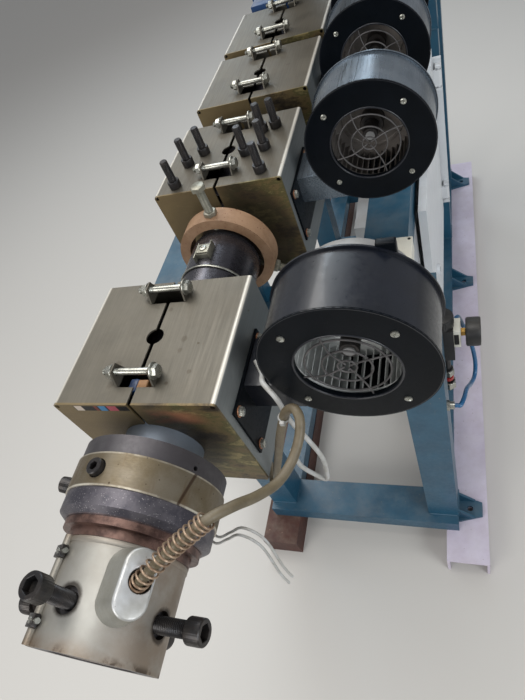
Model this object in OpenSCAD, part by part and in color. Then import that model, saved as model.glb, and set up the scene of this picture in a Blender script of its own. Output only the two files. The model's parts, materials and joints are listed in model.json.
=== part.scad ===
// Plastic extruder on a welded stand: a screw barrel with four heated and
// air-cooled zones, a strand die at the front and the drive at the back.
// Millimetres. The barrel runs along Y with the die at the front, and Z is up.

/* [Barrel and die] */
// Height of the barrel's centre line over the stand
axis_rise = 100; // [96:1:130]
// Outside diameter of the barrel
barrel_d = 92; // [80:1:96]
// Bore of the barrel, for the screw
screw_d = 45; // [30:1:60]
// Diameter of the band heater round the die
die_heater_d = 124; // [120:1:132]
// Length of the band heater round the die
die_heater_len = 95; // [90:1:110]
// Wall of the band heater round the die
die_heater_wall = 6; // [3:0.5:10]
// Outlet bore of the die
die_bore_d = 16; // [8:1:30]
// Diameter of the removable insert in the die's face
insert_d = 84; // [60:1:90]
// Depth of the removable insert
insert_depth = 30; // [20:1:40]
// Diameter of the dark bevelled flange behind the die
die_flange_d = 160; // [152:1:170]
// Diameter of the polished clamp ring
clamp_ring_d = 163; // [156:1:172]
// Length of the polished clamp ring
clamp_ring_len = 35; // [30:1:45]
// Diameter of the flange on the barrel's front end
barrel_flange_d = 159; // [150:1:170]
// Thickness of the flange on the barrel's front end
barrel_flange_len = 20; // [15:1:30]
// Thread diameter of the four screws in the die
die_screw_d = 16; // [12:1:18]
// How far the die screws' heads stand off the heater
die_screw_reach = 46; // [30:1:60]

/* [Heater covers] */
// Width of a heater cover across the barrel
cover_w = 200; // [180:1:220]
// Height of a heater cover
cover_h = 172; // [160:1:190]
// Length of a heater cover along the barrel
cover_len = 174; // [165:1:178]
// Sheet thickness of the covers
cover_t = 2; // [1.5:0.1:3]
// Slit between a cover's two halves
cover_slit = 5; // [3:0.5:8]
// Diameter of the round hole at a cover's middle
cover_hole_d = 22; // [12:1:30]
// Thread diameter of the bolts that close a cover
cover_bolt_d = 8; // [6:1:8]
// Front of the first cover, behind the die's face
cover_1_y = 221; // [215:1:230]
// Front of the second cover
cover_2_y = 578; // [570:1:590]
// Front of the third cover
cover_3_y = 813; // [800:1:820]
// Front of the fourth cover
cover_4_y = 1013; // [1005:1:1030]

/* [Blowers] */
// Diameter of a blower's face plate
blower_d = 171; // [164:1:178]
// Depth of a blower from face to back plate
blower_depth = 74; // [66:1:84]
// Distance from a cover's side to the first blower's shaft
blower_gap = 124; // [122:1:134]
// Height of a blower's shaft over the barrel's centre line
blower_rise = 85; // [75:1:90]
// How far a blower's face stands behind its cover's front
blower_setback = 40; // [30:1:46]
// Diameter of the air inlet
inlet_d = 99; // [90:1:104]
// Sheet thickness of the blowers
blower_t = 2; // [1.5:0.1:3]
// Height of the outlet duct
duct_h = 42; // [34:1:50]
// Outside diameter of an impeller
impeller_d = 132; // [120:1:138]
// Vanes on an impeller
impeller_vanes = 28; // [16:1:36]
// Diameter of a blower's motor
fan_motor_d = 104; // [80:1:110]
// Length of a blower's motor behind the back plate
fan_motor_len = 40; // [20:1:60]

/* [Stand] */
// Height of the stand's top over the floor
stand_h = 900; // [840:5:905]
// Width over the stand's legs
stand_w = 491; // [460:1:520]
// How far the stand's middle lies to the right of the barrel
stand_shift = 41; // [20:1:60]
// Length of the stand
stand_len = 1440; // [1400:10:1500]
// Side of the square tube of the legs and rails
leg_w = 70; // [60:1:80]
// Height of the flat tubes at the bottom
base_h = 45; // [35:1:60]
// Height of the two runners under the stand
runner_h = 70; // [50:1:90]
// Width of the steel channel under the right side
channel_w = 98; // [80:1:120]
// Wall of the steel channel
channel_t = 6; // [4:0.5:8]
// Width of the beam under the left side
beam_w = 97; // [80:1:120]
// Length of the two runners
runner_len = 1610; // [1590:10:1650]
// Bolt hole in the foot brackets
foot_hole_d = 14; // [10:1:18]

/* [Drive and hopper] */
// Length of the feed throat's casting
throat_len = 160; // [140:5:180]
// Inside diameter of the feed throat
throat_d = 60; // [50:1:80]
// Top width of the hopper
hopper_w = 340; // [280:10:380]
// Height of the hopper's cone
hopper_h = 300; // [240:10:340]
// Length of the gearbox
gearbox_len = 280; // [240:10:300]
// Width of the gearbox
gearbox_w = 260; // [220:10:280]
// Diameter of the drive motor
motor_d = 200; // [170:5:220]
// Length of the drive motor
motor_len = 270; // [230:10:280]

/* [Control gear] */
// Depth of the control cabinet, from its back to the door
cabinet_w = 110; // [90:1:130]
// Height of the control cabinet's door
door_h = 479; // [400:1:490]
// Length of the control cabinet's door
door_len = 585; // [540:1:595]
// Thickness of the control cabinet's door
door_t = 14; // [10:1:16]
// Diameter of the pressure gauge
gauge_d = 50; // [40:1:63]

/* [Hidden] */

// Smoothness of round parts
$fn = 96;
// Gap left between a round piece and the hole that it sits in
seat = 0.1;
// Running gap between a shaft and its hub
run_gap = 0.05;

axis_h = stand_h + axis_rise;
// Stations along the barrel, behind the die's face
collar_len = 9;
ring_len = 8;
die_flange_len = 24;
collar_y = die_heater_len;
ring_y = collar_y + collar_len;
die_flange_y = ring_y + ring_len;
clamp_ring_y = die_flange_y + die_flange_len;
barrel_y = clamp_ring_y + clamp_ring_len;
cover_ys = [cover_1_y, cover_2_y, cover_3_y, cover_4_y];
throat_y = cover_4_y + cover_len + 20;
gearbox_y = throat_y + throat_len;
coupling_y = gearbox_y + gearbox_len;
coupling_len = 50;
motor_y = coupling_y + coupling_len;

// Stand
stand_x = stand_shift - stand_w / 2;
stand_y = 467;
stand_end = stand_y + stand_len;
leg_ys = [stand_y + 22, 1502, stand_end - leg_w];
// The right side steps inwards from the front leg to the rest of the frame
front_leg_x = stand_x + stand_w - leg_w;
rear_leg_x = front_leg_x - 10;
right_rail_x = front_leg_x - 43;
base_top = runner_h + base_h;
rail_z = stand_h - leg_w;
channel_x = stand_x + stand_w - 30;
beam_x = stand_x - 25;
runner_y = 390;

// How far the insert's face lies behind the die's face
insert_recess = 1;
// Sheet of the flange between a duct and a cover
flange_t = 3;

// The model stands with the middle of its outline over the origin
low_x = beam_x;
high_x = channel_x + channel_w;
low_y = 0;
high_y = runner_y + runner_len;
mid = [(low_x + high_x) / 2, (low_y + high_y) / 2];

// A solid carried along the barrel's direction from y0
module along(y0, len) {
    translate([0, y0 + len, 0]) rotate([90, 0, 0]) linear_extrude(len) children();
}

// A round bar along the barrel's direction
module rod(y0, len, d) {
    translate([0, y0, 0]) rotate([-90, 0, 0]) cylinder(h = len, d = d);
}

// A ring along the barrel's direction
module ring(y0, len, d_out, d_in) {
    difference() {
        rod(y0, len, d_out);
        rod(y0 - 1, len + 2, d_in);
    }
}

// Places pieces on the barrel's centre line
module on_axis() {
    translate([0, 0, axis_h]) children();
}

// A block given by two corners
module block(a, b) {
    translate(a) cube(b - a);
}

// Puts the finished piece over the origin
module place() {
    translate([-mid[0], -mid[1], 0]) children();
}

// Turns a piece that points up to the angle a from +X towards +Z, at station y
module radial(a, y) {
    translate([0, y, 0]) rotate([0, 90 - a, 0]) children();
}

// Socket-head screw, head up, with the head's underside at z = 0
module socket_screw(d, head_h, shank, hex_d) {
    difference() {
        cylinder(h = head_h, d = 1.5 * d);
        translate([0, 0, head_h / 2]) cylinder(h = head_h, d = hex_d, $fn = 6);
    }
    translate([0, 0, -shank]) cylinder(h = shank, d = d);
}

// Hexagon bolt, head up, with the head's underside at z = 0
module hex_bolt(d, shank) {
    cylinder(h = 0.65 * d, d = 1.85 * d, $fn = 6);
    translate([0, 0, -shank]) cylinder(h = shank, d = d);
}

probe_angle = 28;
probe_back = 6;
module barrel() {
    color("slategray") on_axis() difference() {
        union() {
            rod(barrel_y, throat_y - barrel_y, barrel_d);
            rod(barrel_y, barrel_flange_len, barrel_flange_d);
        }
        rod(barrel_y - 1, throat_y - barrel_y + 2, screw_d);
        // Blind hole for the probe that reads the flange
        radial(probe_angle, barrel_y + probe_back) translate([0, 0, barrel_flange_d / 2 - 15]) cylinder(h = 30, d = 5);
    }
}

// Heater shells clamped round the barrel inside the covers
zone_heater_d = 116;
zone_heater_len = 130;
module zone_heaters() {
    color("dimgray") on_axis() for (y = cover_ys)
        ring(y + (cover_len - zone_heater_len) / 2, zone_heater_len,
             zone_heater_d, barrel_d + 2 * seat);
}

clamp_bore_d = 60;
clamp_screw_d = 12;
clamp_screw_angles = [98, 163];
clamp_head_hs = [18, 29];
clamp_seat_depth = 12;
module clamp_ring() {
    color("darkkhaki") on_axis() difference() {
        rod(clamp_ring_y, clamp_ring_len, clamp_ring_d);
        rod(clamp_ring_y - 1, clamp_ring_len + 2, clamp_bore_d);
        for (a = clamp_screw_angles) radial(a, clamp_ring_y + clamp_ring_len / 2) {
            translate([0, 0, clamp_ring_d / 2 - clamp_seat_depth]) cylinder(h = 20, d = 20);
            translate([0, 0, clamp_ring_d / 2 - 40]) cylinder(h = 40, d = clamp_screw_d + 2 * seat);
        }
    }
}

module clamp_screws() {
    color("dimgray") on_axis()
        for (i = [0, 1]) radial(clamp_screw_angles[i], clamp_ring_y + clamp_ring_len / 2)
            translate([0, 0, clamp_ring_d / 2 - clamp_seat_depth])
                socket_screw(clamp_screw_d, clamp_head_hs[i], 27, 8);
}

module die_flange() {
    color("dimgray") on_axis() difference() {
        union() {
            rod(collar_y, collar_len, die_heater_d + 2);
            rod(ring_y, ring_len, die_flange_d - 18);
            translate([0, die_flange_y, 0]) rotate([-90, 0, 0])
                cylinder(h = 6, d1 = die_flange_d - 16, d2 = die_flange_d);
            rod(die_flange_y + 6, die_flange_len - 6, die_flange_d);
        }
        rod(collar_y - 1, 70, screw_d);
    }
}

die_core_d = die_heater_d - 2 * die_heater_wall;
module die_body() {
    color("gray") on_axis() difference() {
        rod(0, die_heater_len, die_core_d - 2 * seat);
        rod(insert_depth, die_heater_len, die_bore_d + 14);
        rod(-1, insert_depth + 1, insert_d);
        at_die_screws() translate([0, 0, screw_tip]) cylinder(h = die_core_d, d = die_screw_d + 2 * seat);
    }
}

module die_insert() {
    color("silver") on_axis()
        ring(insert_recess, insert_depth - insert_recess, insert_d - 2 * seat, die_bore_d);
}

seam_angle = 124;
lip_d = 9;
clamp_ys = [19, 79];
module die_heater() {
    color("silver") on_axis() difference() {
        union() {
            rod(0, die_heater_len, die_heater_d);
            radial(seam_angle, 0) translate([0, 0, die_heater_d / 2 + 1])
                rotate([-90, 0, 0]) cylinder(h = die_heater_len, d = lip_d);
        }
        rod(-1, die_heater_len + 2, die_core_d);
        for (y = clamp_ys) radial(seam_angle, y)
            translate([-10, -6, die_heater_d / 2 + 0.5]) cube([20, 12, 12]);
        at_die_screws() cylinder(h = die_heater_d, d = 1.5 * die_screw_d);
    }
}

module heater_clamps() {
    color("black") on_axis() for (y = clamp_ys) radial(seam_angle, y) {
        translate([-7, -5, die_heater_d / 2 + 0.6]) cube([14, 10, 6]);
        translate([-9, 0, die_heater_d / 2 + 3.6]) rotate([0, 90, 0]) cylinder(h = 24, d = 5);
    }
}

// Oblong cast box over the heater's terminals
cap_angle = 50;
cap_y = 59;
cap_len = 69;
cap_w = 41;
cap_rise = 36;
// How much shorter and narrower the cap is at its top
cap_taper = 11.5;
// How far its foot and its top lie off its middle line
cap_lean = [-2, 5];
// Where the spring leaves the top
cap_hole = [7.6, 2.3];
module oblong(len, w, h) {
    for (s = [-1, 1]) translate([0, s * (len - w) / 2, 0]) cylinder(h = h, d = w);
    translate([-w / 2, -(len - w) / 2, 0]) cube([w, len - w, h]);
}
module terminal_cap() {
    color("lightgray") on_axis() difference() {
        radial(cap_angle, cap_y) difference() {
            hull() {
                translate([cap_lean[0], 0, die_heater_d / 2 - 12]) oblong(cap_len, cap_w, 1, $fn = 48);
                translate([cap_lean[1], 0, die_heater_d / 2 + cap_rise - 1])
                    oblong(cap_len - cap_taper, cap_w - cap_taper, 1, $fn = 48);
            }
            translate([cap_hole[0], cap_hole[1], die_heater_d / 2 + 8]) cylinder(h = cap_rise, d = spring_d + 3.5);
        }
        rod(-1, die_heater_len + 2, die_heater_d + 2 * seat);
    }
}

spring_d = 17;
spring_wire = 1.8;
spring_turns = 15;
// Centre line of the spring from the cap to the cable
spring_pts = [[62, 60.6, 62.8], [69, 62, 70], [90, 81, 80], [112, 95, 92], [131, 107, 101]];

// The four-point smooth curve through a list of points, at parameter t
function knot(p, i) = p[max(0, min(len(p) - 1, i))];
function smooth(p, t) =
    let (i = min(floor(t), len(p) - 2), u = t - i,
         a = knot(p, i - 1), b = knot(p, i), c = knot(p, i + 1), d = knot(p, i + 2))
    0.5 * (2 * b + (c - a) * u + (2 * a - 5 * b + 4 * c - d) * u * u
           + (3 * b - a - 3 * c + d) * u * u * u);
function unit(v) = v / norm(v);

// A tube of n sides swept along a list of points
function frame_at(p, i) =
    let (t = unit(knot(p, i + 1) - knot(p, i - 1)),
         s = unit(cross(t, abs(t[1]) > 0.95 ? [1, 0, 0] : [0, 1, 0])))
    [s, cross(t, s)];
module sweep(p, d, n) {
    m = len(p);
    rings = [for (i = [0:m - 1]) let (f = frame_at(p, i))
        for (k = [0:n - 1]) let (a = 360 * k / n)
            p[i] + d / 2 * (cos(a) * f[0] + sin(a) * f[1])];
    sides = [for (i = [0:m - 2]) for (k = [0:n - 1]) let (k2 = (k + 1) % n)
        [i * n + k, (i + 1) * n + k, (i + 1) * n + k2, i * n + k2]];
    polyhedron(rings, concat([[for (k = [0:n - 1]) k]], sides,
        [[for (k = [n - 1:-1:0]) (m - 1) * n + k]]));
}

// A route of chosen points drawn as a tube with a ring every step
function route(p, rings) = [for (i = [0:rings - 1]) smooth(p, i * (len(p) - 1) / (rings - 1))];

module strain_spring() {
    n = spring_turns * 12;
    coil = [for (i = [0:n]) let (t = i * (len(spring_pts) - 1) / n,
        c = smooth(spring_pts, t),
        dir = unit(smooth(spring_pts, min(t + 0.05, len(spring_pts) - 1))
                   - smooth(spring_pts, max(t - 0.05, 0))),
        s = unit(cross(dir, [0, 0, 1])), q = cross(dir, s), a = 360 * i / 12)
        c + (spring_d - spring_wire) / 2 * (cos(a) * s + sin(a) * q)];
    color("peru") on_axis() sweep(coil, spring_wire, 6);
}

// Four socket screws that centre the insert
die_screw_y = 39;
die_screw_angle = 94;
screw_tip = 32;
module at_die_screws() {
    for (k = [0:3]) radial(die_screw_angle + 90 * k, die_screw_y) children();
}
module die_screws() {
    head_z = die_heater_d / 2 + die_screw_reach - die_screw_d;
    color("black") on_axis() at_die_screws() translate([0, 0, head_z])
        socket_screw(die_screw_d, die_screw_d, head_z - screw_tip - 1, 0.85 * die_screw_d);
}

// Band heater on the open stretch between the first two covers
band_len = 105;
band_y = cover_1_y + cover_len + 24;
band_d = 102;
module band_heater() {
    color("darkgray") on_axis() difference() {
        union() {
            rod(band_y, band_len, band_d);
            rod(band_y + 8, 14, band_d + 3);
            rod(band_y + band_len - 22, 14, band_d + 3);
            translate([-9, band_y + 20, band_d / 2 - 2]) cube([18, 30, 14]);
        }
        rod(band_y - 1, band_len + 2, barrel_d + 2 * seat);
    }
}

// Ring that carries the barrel on three set bolts
steady_y = band_y + band_len + 0.3;
steady_len = 28;
steady_d = 142;
steady_in = 112;
steady_bolt_d = 10;
module steady_ring() {
    color("sienna") on_axis() difference() {
        ring(steady_y, steady_len, steady_d, steady_in);
        for (k = [0:2]) radial(90 + 120 * k, steady_y + steady_len / 2)
            cylinder(h = steady_d, d = steady_bolt_d + 2 * seat);
    }
}
module steady_bolts() {
    color("silver") on_axis() for (k = [0:2]) radial(90 + 120 * k, steady_y + steady_len / 2)
        translate([0, 0, steady_d / 2 + 42]) hex_bolt(steady_bolt_d, steady_d / 2 + 42 - barrel_d / 2 - seat);
}
// Block that the ring lies in, on the stand's front cross member
saddle_w = 64;
module steady_saddle() {
    color("steelblue") difference() {
        block([-saddle_w / 2, steady_y, stand_h], [saddle_w / 2, steady_y + steady_len, axis_h - steady_d / 2 + 10]);
        on_axis() rod(steady_y - 1, steady_len + 2, steady_d + 2 * seat);
    }
}

// One heater cover: two bent halves with ears at the two windows
window_w = 44;
window_len = 25;
window_starts = [22, 140];
ear_h = 18.5;
ear_bolt_h = 11.5;
relief_d = 6;
// Radius of the long bends
bend_r = 4;
module cover_outline() {
    square([cover_w - 2 * bend_r, cover_h], center = true);
    square([cover_w, cover_h - 2 * bend_r], center = true);
    for (x = [-1, 1]) for (z = [-1, 1])
        translate([x * (cover_w / 2 - bend_r), z * (cover_h / 2 - bend_r)]) circle(r = bend_r);
}
module cover_shell() {
    difference() {
        along(0, cover_len) cover_outline();
        block([-cover_w / 2 + cover_t, cover_t, -cover_h / 2 + cover_t],
              [cover_w / 2 - cover_t, cover_len - cover_t, cover_h / 2 - cover_t]);
        rod(-1, cover_len + 2, barrel_d + 2 * seat);
        block([-cover_slit / 2, -1, -cover_h], [cover_slit / 2, cover_len + 1, cover_h]);
        translate([0, cover_len / 2 + 3, 0]) cylinder(h = cover_h, d = cover_hole_d);
        for (y = window_starts)
            block([-window_w / 2, y, 0], [window_w / 2, y + window_len, cover_h]);
        for (s = [-1, 1]) translate([s * (cover_w / 2 - bend_r), -1, cover_h / 2 - bend_r]) rotate([-90, 0, 0])
            cylinder(h = cover_t + 2, d = relief_d);
        duct_mouth();
        flange_holes();
    }
}
// Each ear narrows towards its top, round the bolt
ear_top = 13;
module ear_outline() {
    difference() {
        polygon([[-window_len / 2, -cover_t], [window_len / 2, -cover_t], [window_len / 2, 1],
                 [ear_top / 2, ear_h], [-ear_top / 2, ear_h], [-window_len / 2, 1]]);
        translate([0, ear_bolt_h]) circle(d = cover_bolt_d + 1);
    }
}
module cover_ears() {
    for (y = window_starts) for (s = [-1, 1])
        translate([s * (window_w + cover_t) / 2 - cover_t / 2, y + window_len / 2, cover_h / 2])
            rotate([90, 0, 90]) linear_extrude(cover_t) ear_outline();
}
module heater_cover(y) {
    color("darkgray") on_axis() translate([0, y, 0]) {
        cover_shell();
        cover_ears();
    }
}

module cover_bolts() {
    color("lightgray") on_axis() for (y = cover_ys) for (w = window_starts)
        translate([0, y + w + window_len / 2, cover_h / 2 + ear_bolt_h]) {
            translate([window_w / 2 + cover_t + 0.1, 0, 0]) rotate([0, 90, 0])
                hex_bolt(cover_bolt_d, window_w + 2 * cover_t + 14);
            translate([-window_w / 2 - cover_t - 0.1 - 6.5, 0, 0]) rotate([0, 90, 0])
                difference() {
                    cylinder(h = 6.5, d = 1.85 * cover_bolt_d, $fn = 6);
                    translate([0, 0, -1]) cylinder(h = 9, d = cover_bolt_d - 0.2);
                }
        }
}

// How much nearer to its cover each blower hangs than the first one
blower_shifts = [0, 9, 21, 27];
function blower_reach(i) = blower_gap - blower_shifts[i];
// Everything of a blower is drawn round its shaft, from its face back
module at_blower(i) {
    translate([cover_w / 2 + blower_reach(i), cover_ys[i] + blower_setback, axis_h + blower_rise]) children();
}
duct_setback = 10;
band_out_d = blower_d - 6;
duct_low = blower_rise - band_out_d / 2;
module duct_square(i, wall, extra) {
    len = blower_reach(i) - flange_t + extra;
    translate([-len, -band_out_d / 2 + wall]) square([len, duct_h - 2 * wall]);
}
module blower_band(i) {
    color(i == 0 ? "black" : "lightsteelblue") at_blower(i) {
        difference() {
            union() {
                along(blower_t, blower_depth - 2 * blower_t) circle(d = band_out_d);
                along(duct_setback, blower_depth - duct_setback - blower_t) duct_square(i, 0, 0);
            }
            rod(0, blower_depth - blower_t, band_out_d - 2 * blower_t);
            along(duct_setback + blower_t, blower_depth - duct_setback - 2 * blower_t) duct_square(i, blower_t, 1);
        }
        difference() {
            along(blower_depth - blower_t, blower_t) union() {
                circle(d = blower_d);
                duct_square(i, 0, 0);
            }
            rod(0, blower_depth + 1, 20);
        }
    }
}

module impeller(i) {
    front = 9;
    back = blower_depth - blower_t - 6;
    disc_t = 2;
    vane_in = inlet_d / 2 + 3;
    vane_out = impeller_d / 2;
    color("lightgray") at_blower(i) {
        ring(front, 2, impeller_d, 2 * vane_in);
        ring(back - disc_t, disc_t, impeller_d, 2 * (shaft_d / 2 + run_gap));
        ring(back - 20, 20, 2 * shaft_d + 8, 2 * (shaft_d / 2 + run_gap));
        for (k = [0:impeller_vanes - 1])
            along(front + 1, back - front - disc_t) rotate(360 * k / impeller_vanes)
                polygon([[vane_in + 0.3, 0], [vane_in + 5, 2.2], [vane_out - 0.6, 7],
                         [vane_out - 0.8, 8.2], [vane_in + 5, 3.6], [vane_in + 0.3, 1.2]]);
    }
}

shaft_d = 12;
module blower_motors() {
    color("lightgray") for (i = [0:3]) at_blower(i) {
        rod(blower_depth, fan_motor_len - 6, fan_motor_d);
        rod(blower_depth + fan_motor_len - 6, 6, fan_motor_d - 14);
        rod(20, blower_depth - 19, shaft_d);
    }
}

module blower_faces() {
    color("black") for (i = [0:3]) at_blower(i) difference() {
        union() {
            rod(0, blower_t, blower_d);
            rod(0, 6, inlet_d + 2 * blower_t);
        }
        rod(-1, 10, inlet_d);
    }
}

guard_wire = 2;
module inlet_guards() {
    color("dimgray") for (i = [0:3]) at_blower(i) along(2.5, guard_wire) {
        for (r = [10, 23, 37]) difference() {
            circle(r = r + guard_wire / 2);
            circle(r = r - guard_wire / 2);
        }
        for (a = [0:3]) rotate(90 * a + 20) translate([0, -guard_wire / 2])
            square([inlet_d / 2 - seat, guard_wire]);
    }
}

// Flange that bolts a blower's duct to the right side of its cover
flange_y = [13, 126];
flange_z = [-40, duct_low + duct_h + 3];
flange_bolt_d = 6;
module at_flange_bolts() {
    for (y = [flange_y[0] + 8, flange_y[1] - 8]) for (z = [flange_z[0] + 8, flange_z[1] - 8])
        translate([cover_w / 2, y, z]) rotate([0, 90, 0]) children();
}
module flange_holes() {
    at_flange_bolts() translate([0, 0, -10]) cylinder(h = 20, d = flange_bolt_d + 2 * seat);
}
module duct_mouth() {
    block([cover_w / 2 - 5, blower_setback + duct_setback + blower_t, duct_low + blower_t],
          [cover_w / 2 + 5, blower_setback + blower_depth - blower_t, duct_low + duct_h - blower_t]);
}
module duct_flanges() {
    color("black") for (y = cover_ys) on_axis() translate([0, y, 0]) difference() {
        block([cover_w / 2, flange_y[0], flange_z[0]], [cover_w / 2 + flange_t, flange_y[1], flange_z[1]]);
        duct_mouth();
        flange_holes();
    }
}

module stand_legs() {
    color("steelblue") for (i = [0:2]) for (x = [stand_x, i == 0 ? front_leg_x : rear_leg_x])
        block([x, leg_ys[i], base_top], [x + leg_w, leg_ys[i] + leg_w, rail_z]);
}
front_member_w = 90;
module base_frame() {
    color("steelblue") {
        for (x = [stand_x, rear_leg_x])
            block([x, stand_y, runner_h], [x + leg_w, stand_end, base_top]);
        block([stand_x, stand_y, runner_h], [front_leg_x + leg_w, stand_y + front_member_w + 2, base_top]);
        for (i = [1, 2])
            block([stand_x, leg_ys[i], runner_h], [rear_leg_x + leg_w, leg_ys[i] + leg_w, base_top]);
    }
}
module top_frame() {
    color("steelblue") {
        for (x = [stand_x, right_rail_x])
            block([x, leg_ys[0], rail_z], [x + leg_w, stand_end, stand_h]);
        block([stand_x, leg_ys[0], rail_z], [front_leg_x + leg_w, leg_ys[0] + leg_w, stand_h]);
        for (i = [1, 2])
            block([stand_x, leg_ys[i], rail_z], [rear_leg_x + leg_w, leg_ys[i] + leg_w, stand_h]);
    }
}

// Gusseted ears that bolt the stand to the steel channel
ear_reach = 66;
ear_len = 70;
ear_ys = [leg_ys[0] + leg_w / 2, 1322, stand_end - 40];
ear_x = rear_leg_x + leg_w;
ear_hole_x = ear_x + 37;
plate_t = 8;
rib_t = 6;
rib_h = 42;
module foot_holes() {
    for (y = ear_ys) translate([ear_hole_x, y, 0]) cylinder(h = base_top, d = foot_hole_d);
}
module foot_brackets() {
    color("steelblue") difference() {
        for (i = [0:2]) translate([ear_x + (i == 0 ? front_leg_x - rear_leg_x : 0), ear_ys[i], runner_h]) {
            reach = ear_reach - (i == 0 ? front_leg_x - rear_leg_x : 0);
            linear_extrude(plate_t) polygon([[0, -ear_len / 2], [reach, -ear_len / 4],
                                             [reach, ear_len / 4], [0, ear_len / 2]]);
            for (y = [-ear_len / 2 + 10, ear_len / 2 - 10 - rib_t])
                translate([0, y + rib_t, plate_t - 1]) rotate([90, 0, 0])
                    linear_extrude(rib_t) polygon([[0, 0], [reach * 0.7, 0], [0, rib_h]]);
        }
        foot_holes();
    }
}
module floor_channel() {
    color("thistle") difference() {
        block([channel_x, runner_y, 0], [channel_x + channel_w, runner_y + runner_len, runner_h]);
        block([channel_x + channel_t, runner_y - 1, -1],
              [channel_x + channel_w - channel_t, runner_y + runner_len + 1, runner_h - channel_t]);
        foot_holes();
    }
}
module runner_beam() {
    color("indianred") block([beam_x, runner_y, 0], [beam_x + beam_w, runner_y + runner_len, runner_h]);
}

// Plate across the two rails, under the feed throat and the drive
bed_t = 12;
bed_z = stand_h + bed_t;
module drive_bed() {
    color("steelblue") block([stand_x, throat_y - 15, stand_h], [right_rail_x + leg_w, stand_end, bed_z]);
}

throat_w = 170;
// How far the throat's block reaches below the centre line
throat_low = 76;
module feed_throat() {
    color("royalblue") difference() {
        union() {
            block([-throat_w / 2, throat_y, axis_h - throat_low], [throat_w / 2, throat_y + throat_len, hopper_z]);
            block([-throat_w / 2 + 20, throat_y + 10, bed_z], [throat_w / 2 - 20, throat_y + throat_len - 10, axis_h]);
        }
        on_axis() rod(throat_y - 1, throat_len + 2, screw_d);
        translate([0, throat_y + throat_len / 2, axis_h]) cylinder(h = 200, d = throat_d);
    }
}
hopper_z = axis_h + 90;
hopper_wall = 2;
module hopper_form(grow) {
    neck_d = throat_d + 2 * grow;
    cylinder(h = 60, d = neck_d);
    translate([0, 0, 60]) cylinder(h = hopper_h, d1 = neck_d, d2 = hopper_w + 2 * grow - 2 * hopper_wall);
    translate([0, 0, 60 + hopper_h]) cylinder(h = 60, d = hopper_w + 2 * grow - 2 * hopper_wall);
}
module hopper() {
    color("silver") translate([0, throat_y + throat_len / 2, hopper_z]) {
        difference() {
            hopper_form(hopper_wall);
            translate([0, 0, -0.01]) hopper_form(0);
            translate([0, 0, 60 + hopper_h]) cylinder(h = 61, d = hopper_w - 2 * hopper_wall);
        }
        difference() {
            cylinder(h = 8, d = throat_d + 60);
            translate([0, 0, -1]) cylinder(h = 10, d = throat_d + 2 * hopper_wall);
        }
    }
}
module gearbox() {
    foot_t = 14;
    color("royalblue") {
        block([-gearbox_w / 2, gearbox_y, bed_z + foot_t], [gearbox_w / 2, gearbox_y + gearbox_len, motor_z + gearbox_w / 2 - 30]);
        block([-gearbox_w / 2 - 25, gearbox_y, bed_z], [gearbox_w / 2 + 25, gearbox_y + gearbox_len, bed_z + foot_t]);
    }
}
motor_z = axis_h + 60;
module drive_coupling() {
    color("dimgray") translate([0, 0, motor_z]) rod(coupling_y, coupling_len, 120);
}
module drive_motor() {
    flange_len = 20;
    color("gray") {
        translate([0, 0, motor_z]) {
            rod(motor_y, flange_len, motor_d + 30);
            rod(motor_y, motor_len - 40, motor_d);
            rod(motor_y + motor_len - 40, 40, motor_d + 6);
        }
        block([-motor_d / 2 + 10, motor_y + 40, bed_z], [motor_d / 2 - 10, motor_y + motor_len - 70, motor_z - motor_d / 4]);
        block([-50, motor_y + 60, motor_z], [50, motor_y + 160, motor_z + motor_d / 2 + 45]);
    }
}

// Control cabinet under the right rail, with a door on its open side
door_y = 750;
door_top = stand_h - 41;
door_x = right_rail_x + leg_w + 8;
sheet_t = 2;
cabinet_x = right_rail_x + leg_w - cabinet_w;
cabinet_y = [door_y + 10, door_y + door_len + 10];
cabinet_z = [door_top - door_h + 20, rail_z];
hinge_x = door_x + door_t + 12;
hinge_y = door_y + door_len - 3;
hinge_zs = [door_top - door_h + 70, door_top - 69];
pin_d = 6;
knuckle_d = 14;
knuckle_h = 40;
latch_y = door_y + 115;
latch_z = door_top - door_h + 220;
module hinge_pins() {
    // A folded post behind the door carries the two pins
    block([right_rail_x + leg_w - 20, cabinet_y[1] - 1, cabinet_z[0]],
          [hinge_x + knuckle_d / 2, cabinet_y[1] + 10, cabinet_z[1]]);
    for (z = hinge_zs) {
        translate([hinge_x, hinge_y, z - knuckle_h / 2 - 10]) cylinder(h = knuckle_h + 20, d = pin_d);
        for (s = [0, 1]) block([hinge_x - 6.5, hinge_y - 6.5, z + (s == 0 ? -knuckle_h / 2 - 10 : knuckle_h / 2 + 5)],
                               [hinge_x + knuckle_d / 2, cabinet_y[1] + 1, z + (s == 0 ? -knuckle_h / 2 - 5 : knuckle_h / 2 + 10)]);
    }
}
module control_cabinet() {
    x1 = right_rail_x + leg_w;
    color("gainsboro") {
        difference() {
            block([cabinet_x, cabinet_y[0], cabinet_z[0]], [x1, cabinet_y[1], cabinet_z[1]]);
            block([cabinet_x + sheet_t, cabinet_y[0] + sheet_t, cabinet_z[0] + sheet_t],
                  [x1 + 1, cabinet_y[1] - sheet_t, cabinet_z[1] - sheet_t]);
        }
        hinge_pins();
    }
}
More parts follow.
